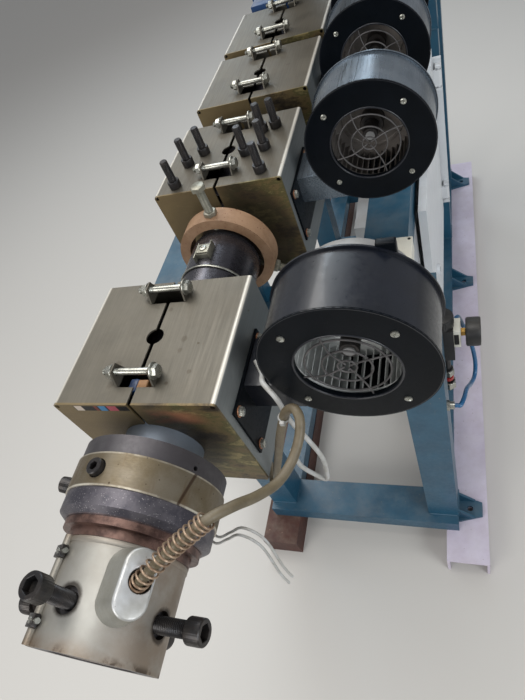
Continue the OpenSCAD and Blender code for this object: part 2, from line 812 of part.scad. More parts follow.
module side_door() {
    color("gainsboro") difference() {
        union() {
            difference() {
                block([door_x, door_y, door_top - door_h], [door_x + door_t, door_y + door_len, door_top]);
                block([door_x - 1, door_y + sheet_t, door_top - door_h + sheet_t],
                      [door_x + door_t - sheet_t, door_y + door_len - sheet_t, door_top - sheet_t]);
            }
            translate([door_x + 4, latch_y, latch_z]) rotate([0, 90, 0])
                cylinder(h = door_t + 3, d = 24);
            for (z = hinge_zs) translate([0, 0, z - knuckle_h / 2]) {
                translate([hinge_x, hinge_y, 0]) cylinder(h = knuckle_h, d = knuckle_d);
                block([door_x + door_t - 1, hinge_y - knuckle_d / 2, 0], [hinge_x, hinge_y, knuckle_h]);
            }
        }
        translate([hinge_x, hinge_y, 0]) cylinder(h = stand_h, r = pin_d / 2 + run_gap);
    }
}
module junction_box() {
    color("beige") block([front_leg_x + 8, 545, stand_h], [front_leg_x + 38, 608, stand_h + 30]);
}

// Air regulator behind the front leg, with its gauge on the right
leg_face_x = front_leg_x + leg_w;
regulator_x = leg_face_x - 0.5;
regulator_y = leg_ys[0] + leg_w + 26;
regulator_z = stand_h - 152;
gauge_x = regulator_x + 36;
outlet_x = regulator_x + 22;
outlet_z = regulator_z - 16;
outlet_end = regulator_y + 21;
// Fitting on the leg's right side that the air tube ends in
fitting_y = leg_ys[0] + 11;
fitting_z = stand_h - 275;
fitting_len = 13;
module air_regulator() {
    color("dimgray") {
        block([leg_face_x - 16, leg_ys[0] + leg_w, regulator_z - 68], [leg_face_x, regulator_y - 16, regulator_z - 8]);
        translate([outlet_x, regulator_y + 14, outlet_z]) rotate([-90, 0, 0])
            cylinder(h = outlet_end - regulator_y - 14, d = 9);
        translate([regulator_x, regulator_y, regulator_z]) {
            block([-18, -18, -80], [17, 18, 0]);
            translate([0, 0, -1]) cylinder(h = 23, d = 36);
            block([16, -15, -45], [27, 15, -3]);
            translate([25, 0, -22]) rotate([0, 90, 0]) cylinder(h = gauge_x - regulator_x - 25, d = 11);
            translate([2, 0, -180]) cylinder(h = 104, d = 12);
            translate([2, 0, -148]) cylinder(h = 20, d = 18);
            translate([2, 0, -188]) cylinder(h = 20, d = 22, $fn = 6);
        }
    }
}
module tube_fitting() {
    color("dimgray") translate([leg_face_x, fitting_y, fitting_z]) rotate([0, 90, 0]) {
        cylinder(h = fitting_len, d = 14);
        cylinder(h = 5, d = 19, $fn = 6);
    }
}
module pressure_gauge() {
    color("black") translate([gauge_x, regulator_y, regulator_z - 22]) rotate([0, 90, 0])
        cylinder(h = 24, d = gauge_d);
}

// Loose screws left standing on their heads on the second cover
spare_spots = [[-67, 17], [-61, 69], [-41, 93], [33, 71], [67, 21], [62, 76], [49, 124], [69, 130]];
module spare_screws() {
    color("black") on_axis() for (p = spare_spots)
        translate([p[0], cover_2_y + p[1], cover_h / 2 + 0.1]) {
            cylinder(h = 12, d = 18);
            translate([0, 0, 12]) cylinder(h = 32, d = 12);
        }
}

// Routes of the cables, as chosen points round the barrel's centre line
die_cable_pts = concat(spring_pts, [
    [146, 124, 90], [155, 142, 68], [165, 162, 52], [174, 184, 50], [180, 204, 58],
    [181, 218, 68], [175, 227, 72], [163, 229, 61], [150, 228, 31], [140, 228, 5],
    [127, 228, -32], [114, 228, -68], [103, 228, -104], [93, 231, -125], [87, 239, -130],
    [86, 248, -121], [86, 253, -106], [86, 253, -96], [86, 253, -86.5]]);
module die_cable() {
    color("darkkhaki") on_axis() sweep(route(die_cable_pts, 70), 9.5, 8);
}
probe_pts = [[112, 300, 48], [124, 282, 51], [132, 264, 60], [150, 246, 57], [154, 242, 23], [165, 238, -11],
    [172, 236, -53], [165, 235, -104], [152, 235, -93], [141, 235, -70], [142, 235, -32]];
module probe_cable() {
    color("white") on_axis() sweep(route(probe_pts, 50), 5.5, 8);
}
lead_pts = [[-18, 178, -92], [6, 166, -124], [28, 152, -128], [58, 150, -98], [85, 148, -70],
    [106, 143, -87], [114, 130, -139], [120, 125, -161]];
module lead_wire(shift) {
    color("white") on_axis() sweep(route([for (p = lead_pts) p + shift], 40), 3.2, 8);
}
// The tube leaves the regulator backwards and turns into the leg's fitting
tube_pts = [[outlet_x, outlet_end + 0.3, outlet_z], [outlet_x, outlet_end + 3, outlet_z], [outlet_x, outlet_end + 6, outlet_z],
    [310.5, 617.5, 727], [314, 620.5, 712], [321, 621, 685], [331, 619, 641], [336, 611, 600], [334, 594, 580],
    [327, 570, 588], [320, 545, 610], [316, 520, 622], [312, 506, 625],
    [leg_face_x + fitting_len + 9, fitting_y, fitting_z], [leg_face_x + fitting_len + 5, fitting_y, fitting_z],
    [leg_face_x + fitting_len + 0.3, fitting_y, fitting_z]];
module air_tube() {
    color("deepskyblue") sweep(route(tube_pts, 46), 8, 8);
}

place() barrel();
place() zone_heaters();
place() clamp_ring();
place() clamp_screws();
place() die_flange();
place() die_body();
place() die_insert();
place() die_heater();
place() heater_clamps();
place() terminal_cap();
place() strain_spring();
place() die_screws();
place() band_heater();
place() steady_ring();
place() steady_bolts();
place() steady_saddle();
place() heater_cover(cover_1_y);  // heater_cover_1
place() heater_cover(cover_2_y);  // heater_cover_2
place() heater_cover(cover_3_y);  // heater_cover_3
place() heater_cover(cover_4_y);  // heater_cover_4
place() cover_bolts();
place() blower_band(0);  // blower_band_1
place() blower_band(1);  // blower_band_2
place() blower_band(2);  // blower_band_3
place() blower_band(3);  // blower_band_4
place() impeller(0);  // impeller_1
place() impeller(1);  // impeller_2
place() impeller(2);  // impeller_3
place() impeller(3);  // impeller_4
place() blower_faces();
place() inlet_guards();
place() blower_motors();
place() duct_flanges();
place() stand_legs();
place() base_frame();
place() top_frame();
place() foot_brackets();
place() floor_channel();
place() runner_beam();
place() drive_bed();
place() feed_throat();
place() hopper();
place() gearbox();
place() drive_coupling();
place() drive_motor();
place() control_cabinet();
place() side_door();
place() junction_box();
place() air_regulator();
place() tube_fitting();
place() pressure_gauge();
place() spare_screws();
place() die_cable();
place() probe_cable();
place() lead_wire([0, 0, 0]);  // lead_wire_1
place() lead_wire([5, 6, 7]);  // lead_wire_2
place() air_tube();
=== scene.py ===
# %% [markdown]
# # A plastic extruder
# A screw in the long barrel melts plastic and pushes it out of the die at the
# front. Four heaters sit under sheet covers, and a blower cools each of them.
# The solid model gives every main form; this lesson adds the small forms and
# the finishes that make it look real.

# %% Load the frame
import json
import math
import bpy
import bmesh
import numpy as np
from mathutils import Matrix, Vector


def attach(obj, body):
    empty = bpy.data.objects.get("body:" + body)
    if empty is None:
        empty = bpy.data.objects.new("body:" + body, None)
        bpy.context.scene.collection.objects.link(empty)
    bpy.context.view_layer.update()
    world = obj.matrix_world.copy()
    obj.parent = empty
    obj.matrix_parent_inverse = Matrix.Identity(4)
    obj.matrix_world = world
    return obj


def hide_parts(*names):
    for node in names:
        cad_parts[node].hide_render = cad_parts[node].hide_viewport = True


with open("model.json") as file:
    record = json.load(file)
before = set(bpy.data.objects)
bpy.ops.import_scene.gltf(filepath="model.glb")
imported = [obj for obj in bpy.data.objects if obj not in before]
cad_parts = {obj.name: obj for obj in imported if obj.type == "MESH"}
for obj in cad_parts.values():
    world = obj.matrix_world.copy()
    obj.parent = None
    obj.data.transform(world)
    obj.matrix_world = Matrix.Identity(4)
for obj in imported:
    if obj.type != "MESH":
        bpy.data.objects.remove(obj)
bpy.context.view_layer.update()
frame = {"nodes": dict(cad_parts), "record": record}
nodes = frame["nodes"]

# %% [markdown]
# The machine was drawn in millimetres round its barrel: X is zero on the
# barrel's centre line, Y is zero at the die's face, Z is zero on the floor.
# One helper turns such a place into the frame's metres, so each piece is
# placed with the same numbers that the solids use. The others give
# directions and points round the barrel.

# %% Places
MIDDLE = np.array([62.5, 1000.0, 0.0])
AXIS = 1000.0                           # the height of the barrel's line
COVER_FRONTS = (221, 578, 813, 1013)    # Y of the four covers' front plates
COVER_TOP = 1086.0
SCREW_ANGLES = (94, 184, 274, 364)      # the die's screws, round the barrel
CAP_ANGLE, SEAM_ANGLE = 50, 124         # the cap and the seam, round the die's heater
ACROSS, ALONG, UP = np.eye(3)


def at(points):
    """Millimetres round the barrel to metres of the frame: take the middle away, divide by 1000."""
    return (np.asarray(points, float) - MIDDLE) / 1000.0


def outward(angle):
    """The direction away from the barrel's line, angle degrees from +X towards +Z."""
    return np.array([math.cos(math.radians(angle)), 0, math.sin(math.radians(angle))])


def sideways(angle):
    """The direction round the barrel, a quarter turn back from outward."""
    return outward(angle - 90)


def around(angle, y, r):
    """The point at radius r from the barrel's line, at an angle round it."""
    return r * outward(angle) + [0, y, AXIS]


print("die face is at", at([0, 0, AXIS]).round(4))

# %% [markdown]
# The camera stands high at the front right and looks down along the barrel.
# Its place was worked out from the straight edges of the covers, whose sizes
# are known, so the model and the picture share one view.

# %% Camera
def linked(name, data):
    """A new object in the scene, at the origin."""
    obj = bpy.data.objects.new(name, data)
    bpy.context.scene.collection.objects.link(obj)
    return obj


camera = linked("camera", bpy.data.cameras.new("camera"))
look = np.array([[0.92823, 0.03321, 0.37053],
                 [0.19631, 0.80231, -0.56370],
                 [-0.31600, 0.59598, 0.73821]])
place = Matrix([[float(v) for v in row] + [0.0] for row in look] + [[0, 0, 0, 1]])
place.translation = Vector(at([331.0, -10.8, 1475.0]))
camera.matrix_world = place
camera.data.sensor_width = 36.0
camera.data.lens = 524.8 / 700 * 36.0
camera.data.clip_start = 0.02
bpy.context.scene.camera = camera
print("camera lens", round(camera.data.lens, 2), "mm")

# %% [markdown]
# Every added piece is a grid of points: two parameters give a point, and four
# neighbours make a face. The whole grid is one array, which is faster and
# clearer than placing corners one by one.

# %% Grids
def grid(points, wrap=False):
    """Corners and faces of a grid (rows, columns, 3). Each face joins point (i, j) with (i+1, j),
    (i+1, j+1) and (i, j+1). With wrap, the last column joins the first one."""
    rows, cols = points.shape[:2]
    i, j = np.meshgrid(np.arange(rows - 1), np.arange(cols if wrap else cols - 1), indexing="ij")
    k = (j + 1) % cols
    faces = np.stack([i * cols + j, i * cols + k, (i + 1) * cols + k, (i + 1) * cols + j], -1)
    return points.reshape(-1, 3), faces.reshape(-1, 4)


def join(parts):
    """One list of corners and faces from several: each part's faces are counted on from the last."""
    starts = np.cumsum([0] + [len(v) for v, _ in parts[:-1]])
    return (np.concatenate([v for v, _ in parts]),
            np.concatenate([f + s for (_, f), s in zip(parts, starts)]))


def moved(part, origin, direction=UP, spin=0.0):
    """A part drawn up +Z, spun round Z in degrees, turned to a direction and put at an origin."""
    q = Vector((0, 0, 1)).rotation_difference(Vector([float(v) for v in direction]))
    turn = np.array(q.to_matrix() @ Matrix.Rotation(math.radians(spin), 3, "Z"))
    return part[0] @ turn.T + np.asarray(origin, float), part[1]


def laid(part, angle, origin):
    """A part drawn with Y along the barrel and Z outwards, turned to an angle round the barrel:
    a corner is x times sideways, plus y along, plus z times outward, plus the origin."""
    return part[0] @ np.stack([sideways(angle), ALONG, outward(angle)]) + origin, part[1]


print("a strip of 3 x 4 points has", len(grid(np.zeros((3, 4, 3)))[1]), "faces")

# %% [markdown]
# A piece is made from one or more such parts. Points that fall together are
# joined, which closes rings and poles, and the faces are then turned to
# point outwards. Each piece names its finish, the body that it moves with,
# and the solids that it stands for.

# %% Pieces
finishes = {}


def piece(name, parts, finish, slot=None, body="machine", replaces=(), sharp=38.0):
    """Puts joined parts, given in millimetres round the barrel, into one object at the origin."""
    verts, faces = join(parts)
    mesh = bpy.data.meshes.new(name)
    mesh.from_pydata(at(verts), [], faces.tolist())
    work = bmesh.new()
    work.from_mesh(mesh)
    bmesh.ops.remove_doubles(work, verts=work.verts, dist=2e-6)
    bmesh.ops.dissolve_degenerate(work, edges=work.edges, dist=1e-7)
    bmesh.ops.recalc_face_normals(work, faces=work.faces)
    work.to_mesh(mesh)
    work.free()
    mesh.shade_smooth()
    mesh.set_sharp_from_angle(angle=math.radians(sharp))
    mesh.materials.append(finishes[finish])
    obj = linked(name, mesh)
    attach(obj, body)
    slot or finish
    if replaces:
        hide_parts(*replaces)
    print(f"{name}: {len(mesh.polygons)} faces")
    return obj


# %% [markdown]
# Two families of curves are used all over: a smooth curve through a few
# chosen points, and a tube that follows a curve. The tube's rings are set
# across the curve with a fixed side direction, which never flips as long as
# the curve doesn't run along it.

# %% Curves and tubes
def smooth(points, count):
    """A smooth curve through all points: between two of them, a cubic whose slope at each
    point is half the step from the point before to the point after."""
    p = np.asarray(points, float)
    t = np.linspace(0, len(p) - 1, count)
    i = np.minimum(t.astype(int), len(p) - 2)
    u = (t - i)[:, None]
    a, b, c, d = (p[np.clip(i + k, 0, len(p) - 1)] for k in (-1, 0, 1, 2))
    return 0.5 * (2 * b + (c - a) * u + (2 * a - 5 * b + 4 * c - d) * u ** 2
                  + (3 * b - a - 3 * c + d) * u ** 3)


def sides_of(path):
    """Two side directions across a path at each point: across the tangent and a fixed axis."""
    t = np.gradient(path, axis=0)
    t /= np.linalg.norm(t, axis=1, keepdims=True)
    axis = np.eye(3)[np.argmin(np.abs(t).max(0))]
    s = np.cross(t, axis)
    s /= np.linalg.norm(s, axis=1, keepdims=True)
    return s, np.cross(t, s)


def tube(path, radius, sides=16):
    """A circle of the radius carried along the path, closed by a point at each end."""
    path = np.asarray(path, float)
    s, q = sides_of(path)
    r = np.broadcast_to(np.asarray(radius, float), (len(path),))[:, None, None]
    a = (np.arange(sides) * 2 * np.pi / sides)[None, :, None]
    rings = path[:, None] + r * (np.cos(a) * s[:, None] + np.sin(a) * q[:, None])
    first, last = (np.tile(end, (1, sides, 1)) for end in (path[0], path[-1]))
    return grid(np.concatenate([first, rings, last]), wrap=True)


def length_of(path):
    """The sum of a path's steps."""
    return float(np.linalg.norm(np.diff(path, axis=0), axis=1).sum())


def hoop(centre, radius, thick, axis=ALONG, steps=72, sides=10):
    """A round bar bent to a ring: a small circle carried round a large one."""
    u = (np.arange(steps) * 2 * np.pi / steps)[:, None]
    v = (np.arange(sides) * 2 * np.pi / sides)[None]
    out = radius + thick * np.cos(v) + 0 * u
    ring = np.stack([out * np.cos(u), out * np.sin(u), thick * np.sin(v) + 0 * u], -1)
    ring = np.concatenate([ring, ring[:1]])
    return moved(grid(ring, wrap=True), centre, axis)


print("a ring of wire has", len(hoop([0, 0, 0], 10, 1)[1]), "faces")

# %% [markdown]
# Most small parts of a machine come off a lathe or out of a press. A turned
# part is a profile carried round an axis; a hexagon is the same with a
# radius that changes with the angle; a block is a stack of rounded rings.

# %% Turned parts and blocks
def turned(profile, count=64, radii=None):
    """A turned part: each profile point (radius, height) becomes a circle round Z.
    radii, if given, is a whole array (points, count) in place of the circles' radii."""
    profile = np.asarray(profile, float)
    a = np.arange(count) * 2 * np.pi / count
    r = np.broadcast_to(profile[:, :1], (len(profile), count)) if radii is None else radii
    z = np.broadcast_to(profile[:, 1:], r.shape)
    return grid(np.stack([r * np.cos(a), r * np.sin(a), z], -1), wrap=True)


def rod(radius, low, high, count):
    """A plain round bar up Z."""
    return turned([[0, low], [radius, low], [radius, high], [0, high]], count)


def ring_of(inside, outside, low, high, back, down, count):
    """A flat ring whose outer corners are cut: back along the radius, down along the height."""
    return turned([[inside, low], [outside - back, low], [outside, low + down], [outside, high - down],
                   [outside - back, high], [inside, high], [inside, low]], count)


def hexagon(flats, count):
    """Radius of a hexagon at each angle: half the width across flats over the cosine of the
    angle to the nearest flat's middle."""
    a = np.arange(count) * 360.0 / count
    return flats / 2 / np.cos(np.radians((a + 30) % 60 - 30))


def slab(a, b, edge=0.6, steps=4):
    """A block between two corners with rounded edges: rings of a rounded rectangle, drawn in by
    edge * (1 - sin) and raised by edge * (1 - cos) at the bottom and the top."""
    a, b = np.asarray(a, float), np.asarray(b, float)
    t = np.linspace(0, np.pi / 2, steps)
    drawn_in = np.concatenate([[1], 1 - np.sin(t), 1 - np.sin(t[::-1]), [1]]) * edge
    rise = edge * (1 - np.cos(t))
    height = np.concatenate([[a[2]], a[2] + rise, b[2] - rise[::-1], [b[2]]])
    corner = np.radians(np.concatenate([np.linspace(k * 90, k * 90 + 90, steps) for k in range(4)]))
    sx, sy = np.repeat([1, -1, -1, 1], steps), np.repeat([1, 1, -1, -1], steps)
    mid, half = (a + b) / 2, (b - a) / 2 - edge
    rows = [np.stack([mid[0] + sx * half[0] + np.cos(corner) * (edge - i),
                      mid[1] + sy * half[1] + np.sin(corner) * (edge - i),
                      np.full(len(corner), h)], -1) for i, h in zip(drawn_in, height)]
    low, top = ([mid[0], mid[1], h] + 0 * rows[0] for h in (a[2], b[2]))
    return grid(np.stack([low] + rows + [top]), wrap=True)


print("a rounded block has", len(slab([0, 0, 0], [9, 9, 9])[1]), "faces")

# %% [markdown]
# The cables come first, because they decide how much room the model takes.
# Each one is a fixed length of a round cable, so it is a tube along a smooth
# curve whose points are the same as in the solid model. The length is
# measured along that curve.

# %% Cords
SPRING_LINE = [[62, 60.6, 1062.8], [69, 62, 1070], [90, 81, 1080], [112, 95, 1092], [131, 107, 1101]]
CORDS = {
    "die_cable": dict(width=9.5, end="object", stiffness="stiff", slot="olive_cable", points=SPRING_LINE + [
        [146, 124, 1090], [155, 142, 1068], [165, 162, 1052], [174, 184, 1050], [180, 204, 1058],
        [181, 218, 1068], [175, 227, 1072], [163, 229, 1061], [150, 228, 1031], [140, 228, 1005],
        [127, 228, 968], [114, 228, 932], [103, 228, 896], [93, 231, 875], [87, 239, 870],
        [86, 248, 879], [86, 253, 894], [86, 253, 904], [86, 253, 913.5]]),
    "probe_cable": dict(width=5.5, end="bare", stiffness="medium", slot="white_cable", points=[
        [112, 300, 1048], [124, 282, 1051], [132, 264, 1060], [150, 246, 1057], [154, 242, 1023],
        [165, 238, 989], [172, 236, 947], [165, 235, 896], [152, 235, 907], [141, 235, 930],
        [142, 235, 968]]),
    "lead_wire_1": dict(width=3.2, end="bare", stiffness="medium", slot="white_cable", points=[
        [-18, 178, 908], [6, 166, 876], [28, 152, 872], [58, 150, 902], [85, 148, 930],
        [106, 143, 913], [114, 130, 861], [120, 125, 839]]),
    "lead_wire_2": dict(width=3.2, end="bare", stiffness="medium", slot="white_cable", points=[
        [-13, 184, 915], [11, 172, 883], [33, 158, 879], [63, 156, 909], [90, 154, 937],
        [111, 149, 920], [119, 136, 868], [125, 131, 846]]),
    "air_tube": dict(width=8.0, end="object", stiffness="stiff", slot="blue_tube", points=[
        [308, 606.3, 732], [308, 609, 732], [308, 612, 732], [310.5, 617.5, 727], [314, 620.5, 712],
        [321, 621, 685], [331, 619, 641], [336, 611, 600], [334, 594, 580], [327, 570, 588],
        [320, 545, 610], [316, 520, 622], [312, 506, 625], [308.5, 500, 625], [304.5, 500, 625],
        [299.8, 500, 625]]),
}
paths = {name: smooth(c["points"], 150) for name, c in CORDS.items()}
for name, path in paths.items():
    print(name, round(length_of(path)), "mm long")

# %% [markdown]
# A finish is a tree of nodes. Writing each node by hand hides the idea
# behind it, so a small class gives the few steps that all finishes use: sums
# of masks, noise, a ramp between two places of the machine, and a tint laid
# over a colour where a mask says so.

# %% Node helpers
def srgb(r, g, b):
    """A colour picked as 0 to 255 for the screen, as the linear colour that shaders use."""
    c = np.array([r, g, b]) / 255.0
    c = np.where(c <= 0.04045, c / 12.92, ((c + 0.055) / 1.055) ** 2.4)
    return tuple(float(v) for v in c) + (1.0,)


class Nodes:
    """Short calls that add nodes to one tree. A value is a number or another node's socket."""

    def __init__(self, tree):
        self.tree = tree

    def new(self, kind):
        """Adds one node of a kind."""
        return self.tree.nodes.new(kind)

    def feed(self, socket, value):
        """Sets a socket's own value, or links another socket to it."""
        if isinstance(value, bpy.types.NodeSocket):
            self.tree.links.new(value, socket)
        else:
            socket.default_value = value

    def maths(self, kind, *values):
        """One operation on one to three values."""
        node = self.new("ShaderNodeMath")
        node.operation = kind
        for socket, value in zip(node.inputs, values):
            self.feed(socket, value)
        return node.outputs[0]

    def times(self, value, *others):
        """The product of all values."""
        for other in others:
            value = self.maths("MULTIPLY", value, other)
        return value

    def less(self, a, b):
        """The first value less the second."""
        return self.maths("SUBTRACT", a, b)

    def scaled(self, value, gain, start):
        """gain times a value, plus a start."""
        return self.maths("MULTIPLY_ADD", value, gain, start)

    def between(self, value, low, high):
        """Maps a value from low..high to 0..1, smoothly and clamped."""
        node = self.new("ShaderNodeMapRange")
        node.interpolation_type = "SMOOTHSTEP"
        for label, v in (("Value", value), ("From Min", low), ("From Max", high)):
            self.feed(node.inputs[label], v)
        return node.outputs["Result"]

    def place(self):
        """The shaded point's place, in metres of the frame."""
        return self.new("ShaderNodeTexCoord").outputs["Object"]

    def split(self, vector):
        """A vector's X, Y and Z."""
        node = self.new("ShaderNodeSeparateXYZ")
        self.feed(node.inputs[0], vector)
        return node.outputs

    def along(self, axis, low, high):
        """A mask from 0 to 1 between two places on one axis, in millimetres round the barrel."""
        k = "XYZ".index(axis)
        low, high = ((v - float(MIDDLE[k])) / 1000 for v in (low, high))
        return self.between(self.split(self.place())[k], low, high)

    def band(self, axis, low, full, fade, high):
        """A mask that rises from low to full and falls from fade to high."""
        return self.less(self.along(axis, low, full), self.along(axis, fade, high))

    def noise(self, scale, detail, rough, stretch=(1, 1, 1)):
        """Noise on Object coordinates, squeezed along each axis by the stretch."""
        squeeze, noise = self.new("ShaderNodeMapping"), self.new("ShaderNodeTexNoise")
        squeeze.inputs["Scale"].default_value = stretch
        self.feed(squeeze.inputs["Vector"], self.place())
        for label, v in (("Vector", squeeze.outputs["Vector"]), ("Scale", scale), ("Detail", detail),
                         ("Roughness", rough)):
            self.feed(noise.inputs[label], v)
        return noise.outputs["Fac"]

    def placed(self, group, **values):
        """A shader group with its own input values; returns its outputs."""
        node = self.new("ShaderNodeGroup")
        node.node_tree = group
        for label, v in values.items():
            self.feed(node.inputs[label], v)
        return node.outputs

    def mix(self, factor, a, b):
        """Mixes two colours by a mask. A colour: three screen values, a linear one, or a socket."""
        node = self.new("ShaderNodeMix")
        node.data_type = "RGBA"
        self.feed(node.inputs["Factor"], factor)
        for socket, v in ((node.inputs[6], a), (node.inputs[7], b)):
            self.feed(socket, srgb(*v) if isinstance(v, tuple) and len(v) == 3 else v)
        return node.outputs[2]

    def tint(self, colour, over, *masks):
        """Lays a colour over another where the product of the masks is 1."""
        return self.mix(self.times(*masks), colour, over)


def material(name):
    """A fresh node material: returns it with its node helper and its main shader."""
    m = bpy.data.materials.new(name)
    m.use_nodes = True
    return m, Nodes(m.node_tree), m.node_tree.nodes["Principled BSDF"]


print("mid grey 128 is", round(srgb(128, 128, 128)[0], 3), "in linear light")

# %% [markdown]
# The studio is a plain pale floor and four soft lamps. Steel looks right
# only if it has something broad and bright to mirror, so the lamps are large
# panels: one above the barrel, one on each side in front, and a cool one
# behind that draws a streak along each blower. The world gives an even grey
# between them.

# %% Studio
FLOOR_REACH = 8.0
floor_mesh = bpy.data.meshes.new("floor")
span = np.array([-FLOOR_REACH, FLOOR_REACH])
floor_mesh.from_pydata(np.stack(np.meshgrid(span, span, [0.0]), -1).reshape(-1, 3), [], [(0, 1, 3, 2)])
floor_paint, _, shader = material("pale_floor")
shader.inputs["Base Color"].default_value = srgb(196, 193, 188)
shader.inputs["Roughness"].default_value = 0.7
floor_mesh.materials.append(floor_paint)
linked("floor", floor_mesh)

world = bpy.data.worlds.new("studio")
bpy.context.scene.world = world
world.use_nodes = True
background = world.node_tree.nodes["Background"]
background.inputs["Color"].default_value = (0.80, 0.82, 0.85, 1.0)
background.inputs["Strength"].default_value = 0.42


def lamp(name, place, aim, size, power, tint):
    """A soft panel, size in metres and power in watts, that points from its place to an aim."""
    data = bpy.data.lights.new(name, "AREA")
    data.shape = "RECTANGLE"
    data.size, data.size_y = size
    data.energy = power
    data.color = tint
    turn = (Vector(aim) - Vector(place)).to_track_quat("-Z", "Y")
    linked(name, data).matrix_world = Matrix.Translation(Vector(place)) @ turn.to_matrix().to_4x4()


lamp("lamp_above", (-0.5, 0.1, 3.3), (-0.06, -0.3, 1.0), (1.2, 3.2), 62, (1.0, 0.97, 0.93))
lamp("lamp_right", (2.6, -2.3, 2.2), (0.15, -0.5, 1.0), (1.8, 1.6), 58, (0.93, 0.97, 1.0))
lamp("lamp_front", (-1.4, -3.0, 2.2), (0.0, -0.8, 0.9), (1.8, 1.4), 40, (1.0, 0.98, 0.95))
lamp("lamp_behind", (-0.7, 2.7, 3.2), (0.1, -0.5, 1.1), (1.8, 1.2), 46, (0.78, 0.9, 1.0))
bpy.context.scene.view_settings.view_transform = "Standard"
print("studio: floor, world and", len(bpy.data.lights), "lamps")

# %% [markdown]
# A real surface is never one colour. Small shader groups hold the ways in
# which it varies: broad blotches, long brush lines on each axis, scattered
# specks, dust that settles on faces that look up, and ragged round spots.
# Each group puts out a mask only; the material decides what the mask does.

# %% Shader groups
def group(name, inputs, outputs):
    """An empty shader group with named numbers: returns it, its node helper, and both its ends."""
    g = bpy.data.node_groups.new(name, "ShaderNodeTree")
    for label, value in inputs.items():
        g.interface.new_socket(label, in_out="INPUT", socket_type="NodeSocketFloat").default_value = value
    for label in outputs:
        g.interface.new_socket(label, in_out="OUTPUT", socket_type="NodeSocketFloat")
    return g, Nodes(g), g.nodes.new("NodeGroupInput").outputs, g.nodes.new("NodeGroupOutput").inputs


blotches, s, given, out = group("blotches", {"Scale": 20.0, "Edge": 0.12}, ["Mask", "Fine"])
low, high = s.less(0.5, given["Edge"]), s.maths("ADD", 0.5, given["Edge"])
s.feed(out["Mask"], s.between(s.noise(given["Scale"], 6.0, 0.62), low, high))
s.feed(out["Fine"], s.noise(s.times(given["Scale"], 9.0), 4.0, 0.7))

grains = {}
for axis, stretch in (("x", (0.02, 1, 1)), ("y", (1, 0.02, 1)), ("z", (1, 1, 0.02))):
    grains[axis], s, given, out = group("brushed_" + axis, {"Scale": 900.0}, ["Lines"])
    s.feed(out["Lines"], s.noise(given["Scale"], 3.0, 0.5, stretch))

specks, s, given, out = group("specks", {"Scale": 220.0, "Amount": 0.2}, ["Mask"])
cells = s.new("ShaderNodeTexVoronoi")
s.feed(cells.inputs["Vector"], s.place())
s.feed(cells.inputs["Scale"], given["Scale"])
size = s.times(given["Amount"], s.noise(s.times(given["Scale"], 0.12), 3.0, 0.6), 2.0)
s.feed(out["Mask"], s.between(s.less(size, cells.outputs["Distance"]), 0.0, 0.08))

dust, s, given, out = group("dust", {"Scale": 30.0}, ["Mask"])
facing_up = s.split(s.new("ShaderNodeNewGeometry").outputs["Normal"])["Z"]
s.feed(out["Mask"], s.times(s.between(facing_up, 0.5, 1.0),
                            s.between(s.noise(given["Scale"], 5.0, 0.65), 0.35, 0.7)))

spots, s, given, out = group("ragged_spot", dict.fromkeys(("X", "Y", "Z", "Inner", "Outer", "Ragged"), 0.0),
                             ["Mask"])
centre, gap = s.new("ShaderNodeCombineXYZ"), s.new("ShaderNodeVectorMath")
gap.operation = "DISTANCE"
for axis in "XYZ":
    s.feed(centre.inputs[axis], given[axis])
s.feed(gap.inputs[0], s.place())
s.feed(gap.inputs[1], centre.outputs[0])
reach = s.scaled(given["Ragged"], -0.010, s.maths("ADD", gap.outputs["Value"], 0.005))
s.feed(out["Mask"], s.less(1.0, s.between(reach, given["Inner"], given["Outer"])))
print("groups:", [g.name for g in bpy.data.node_groups])

# %% [markdown]
# One recipe makes every finish: a base colour, a second tone in blotches, a
# third colour as stains, dust on top, brush lines or grain for the
# roughness, and a slight bump. Each finish of the machine gives the recipe
# its own colours, sizes and strengths, and some add marks of their own.

# %% Finish recipe
def finish(name, base, tone, rough, metal=0.0, blotch=(24, 0.14), stain=None, brush=None, dusty=0.0,
           bump=0.05, bump_scale=1.0, rough_spread=0.15, coat=0.0, gloss=0.5, marks=None):
    """Base and tone in blotches (scale, soft edge), stains as specks (colour, scale, amount),
    brush lines (axis, scale, depth), marks of its own, and roughness from the grain."""
    m, s, shader = material(name)
    wear = s.placed(blotches, Scale=blotch[0], Edge=blotch[1])
    colour = s.mix(wear["Mask"], base, tone)
    if stain:
        tint, scale, amount = stain
        colour = s.tint(colour, tint, s.placed(specks, Scale=scale, Amount=amount)["Mask"])
    grain = wear["Fine"]
    if brush:
        axis, scale, depth = brush
        grain = s.placed(grains[axis], Scale=scale)["Lines"]
        darker = tuple(0.45 * v for v in srgb(*base)[:3]) + (1.0,)
        colour = s.tint(colour, darker, s.between(grain, 0.3, 0.7), depth)
    if marks:
        colour = marks(s, colour)
    roughness = s.scaled(s.between(grain, 0.25, 0.75), rough_spread, rough - rough_spread / 2)
    if dusty:
        film = s.times(s.placed(dust, Scale=26.0)["Mask"], dusty)
        colour = s.tint(colour, (158, 148, 132), film)
        roughness = s.scaled(film, 0.5, roughness)
    s.feed(shader.inputs["Base Color"], colour)
    s.feed(shader.inputs["Roughness"], s.maths("MINIMUM", roughness, 1.0))
    for label, value in (("Metallic", metal), ("Coat Weight", coat), ("Specular IOR Level", gloss),
                         ("Coat Roughness", 0.12)):
        shader.inputs[label].default_value = value
    relief = s.new("ShaderNodeBump")
    relief.inputs["Strength"].default_value = bump
    relief.inputs["Distance"].default_value = 0.001 * bump_scale
    s.feed(relief.inputs["Height"], grain)
    s.feed(shader.inputs["Normal"], relief.outputs["Normal"])
    finishes[name] = m


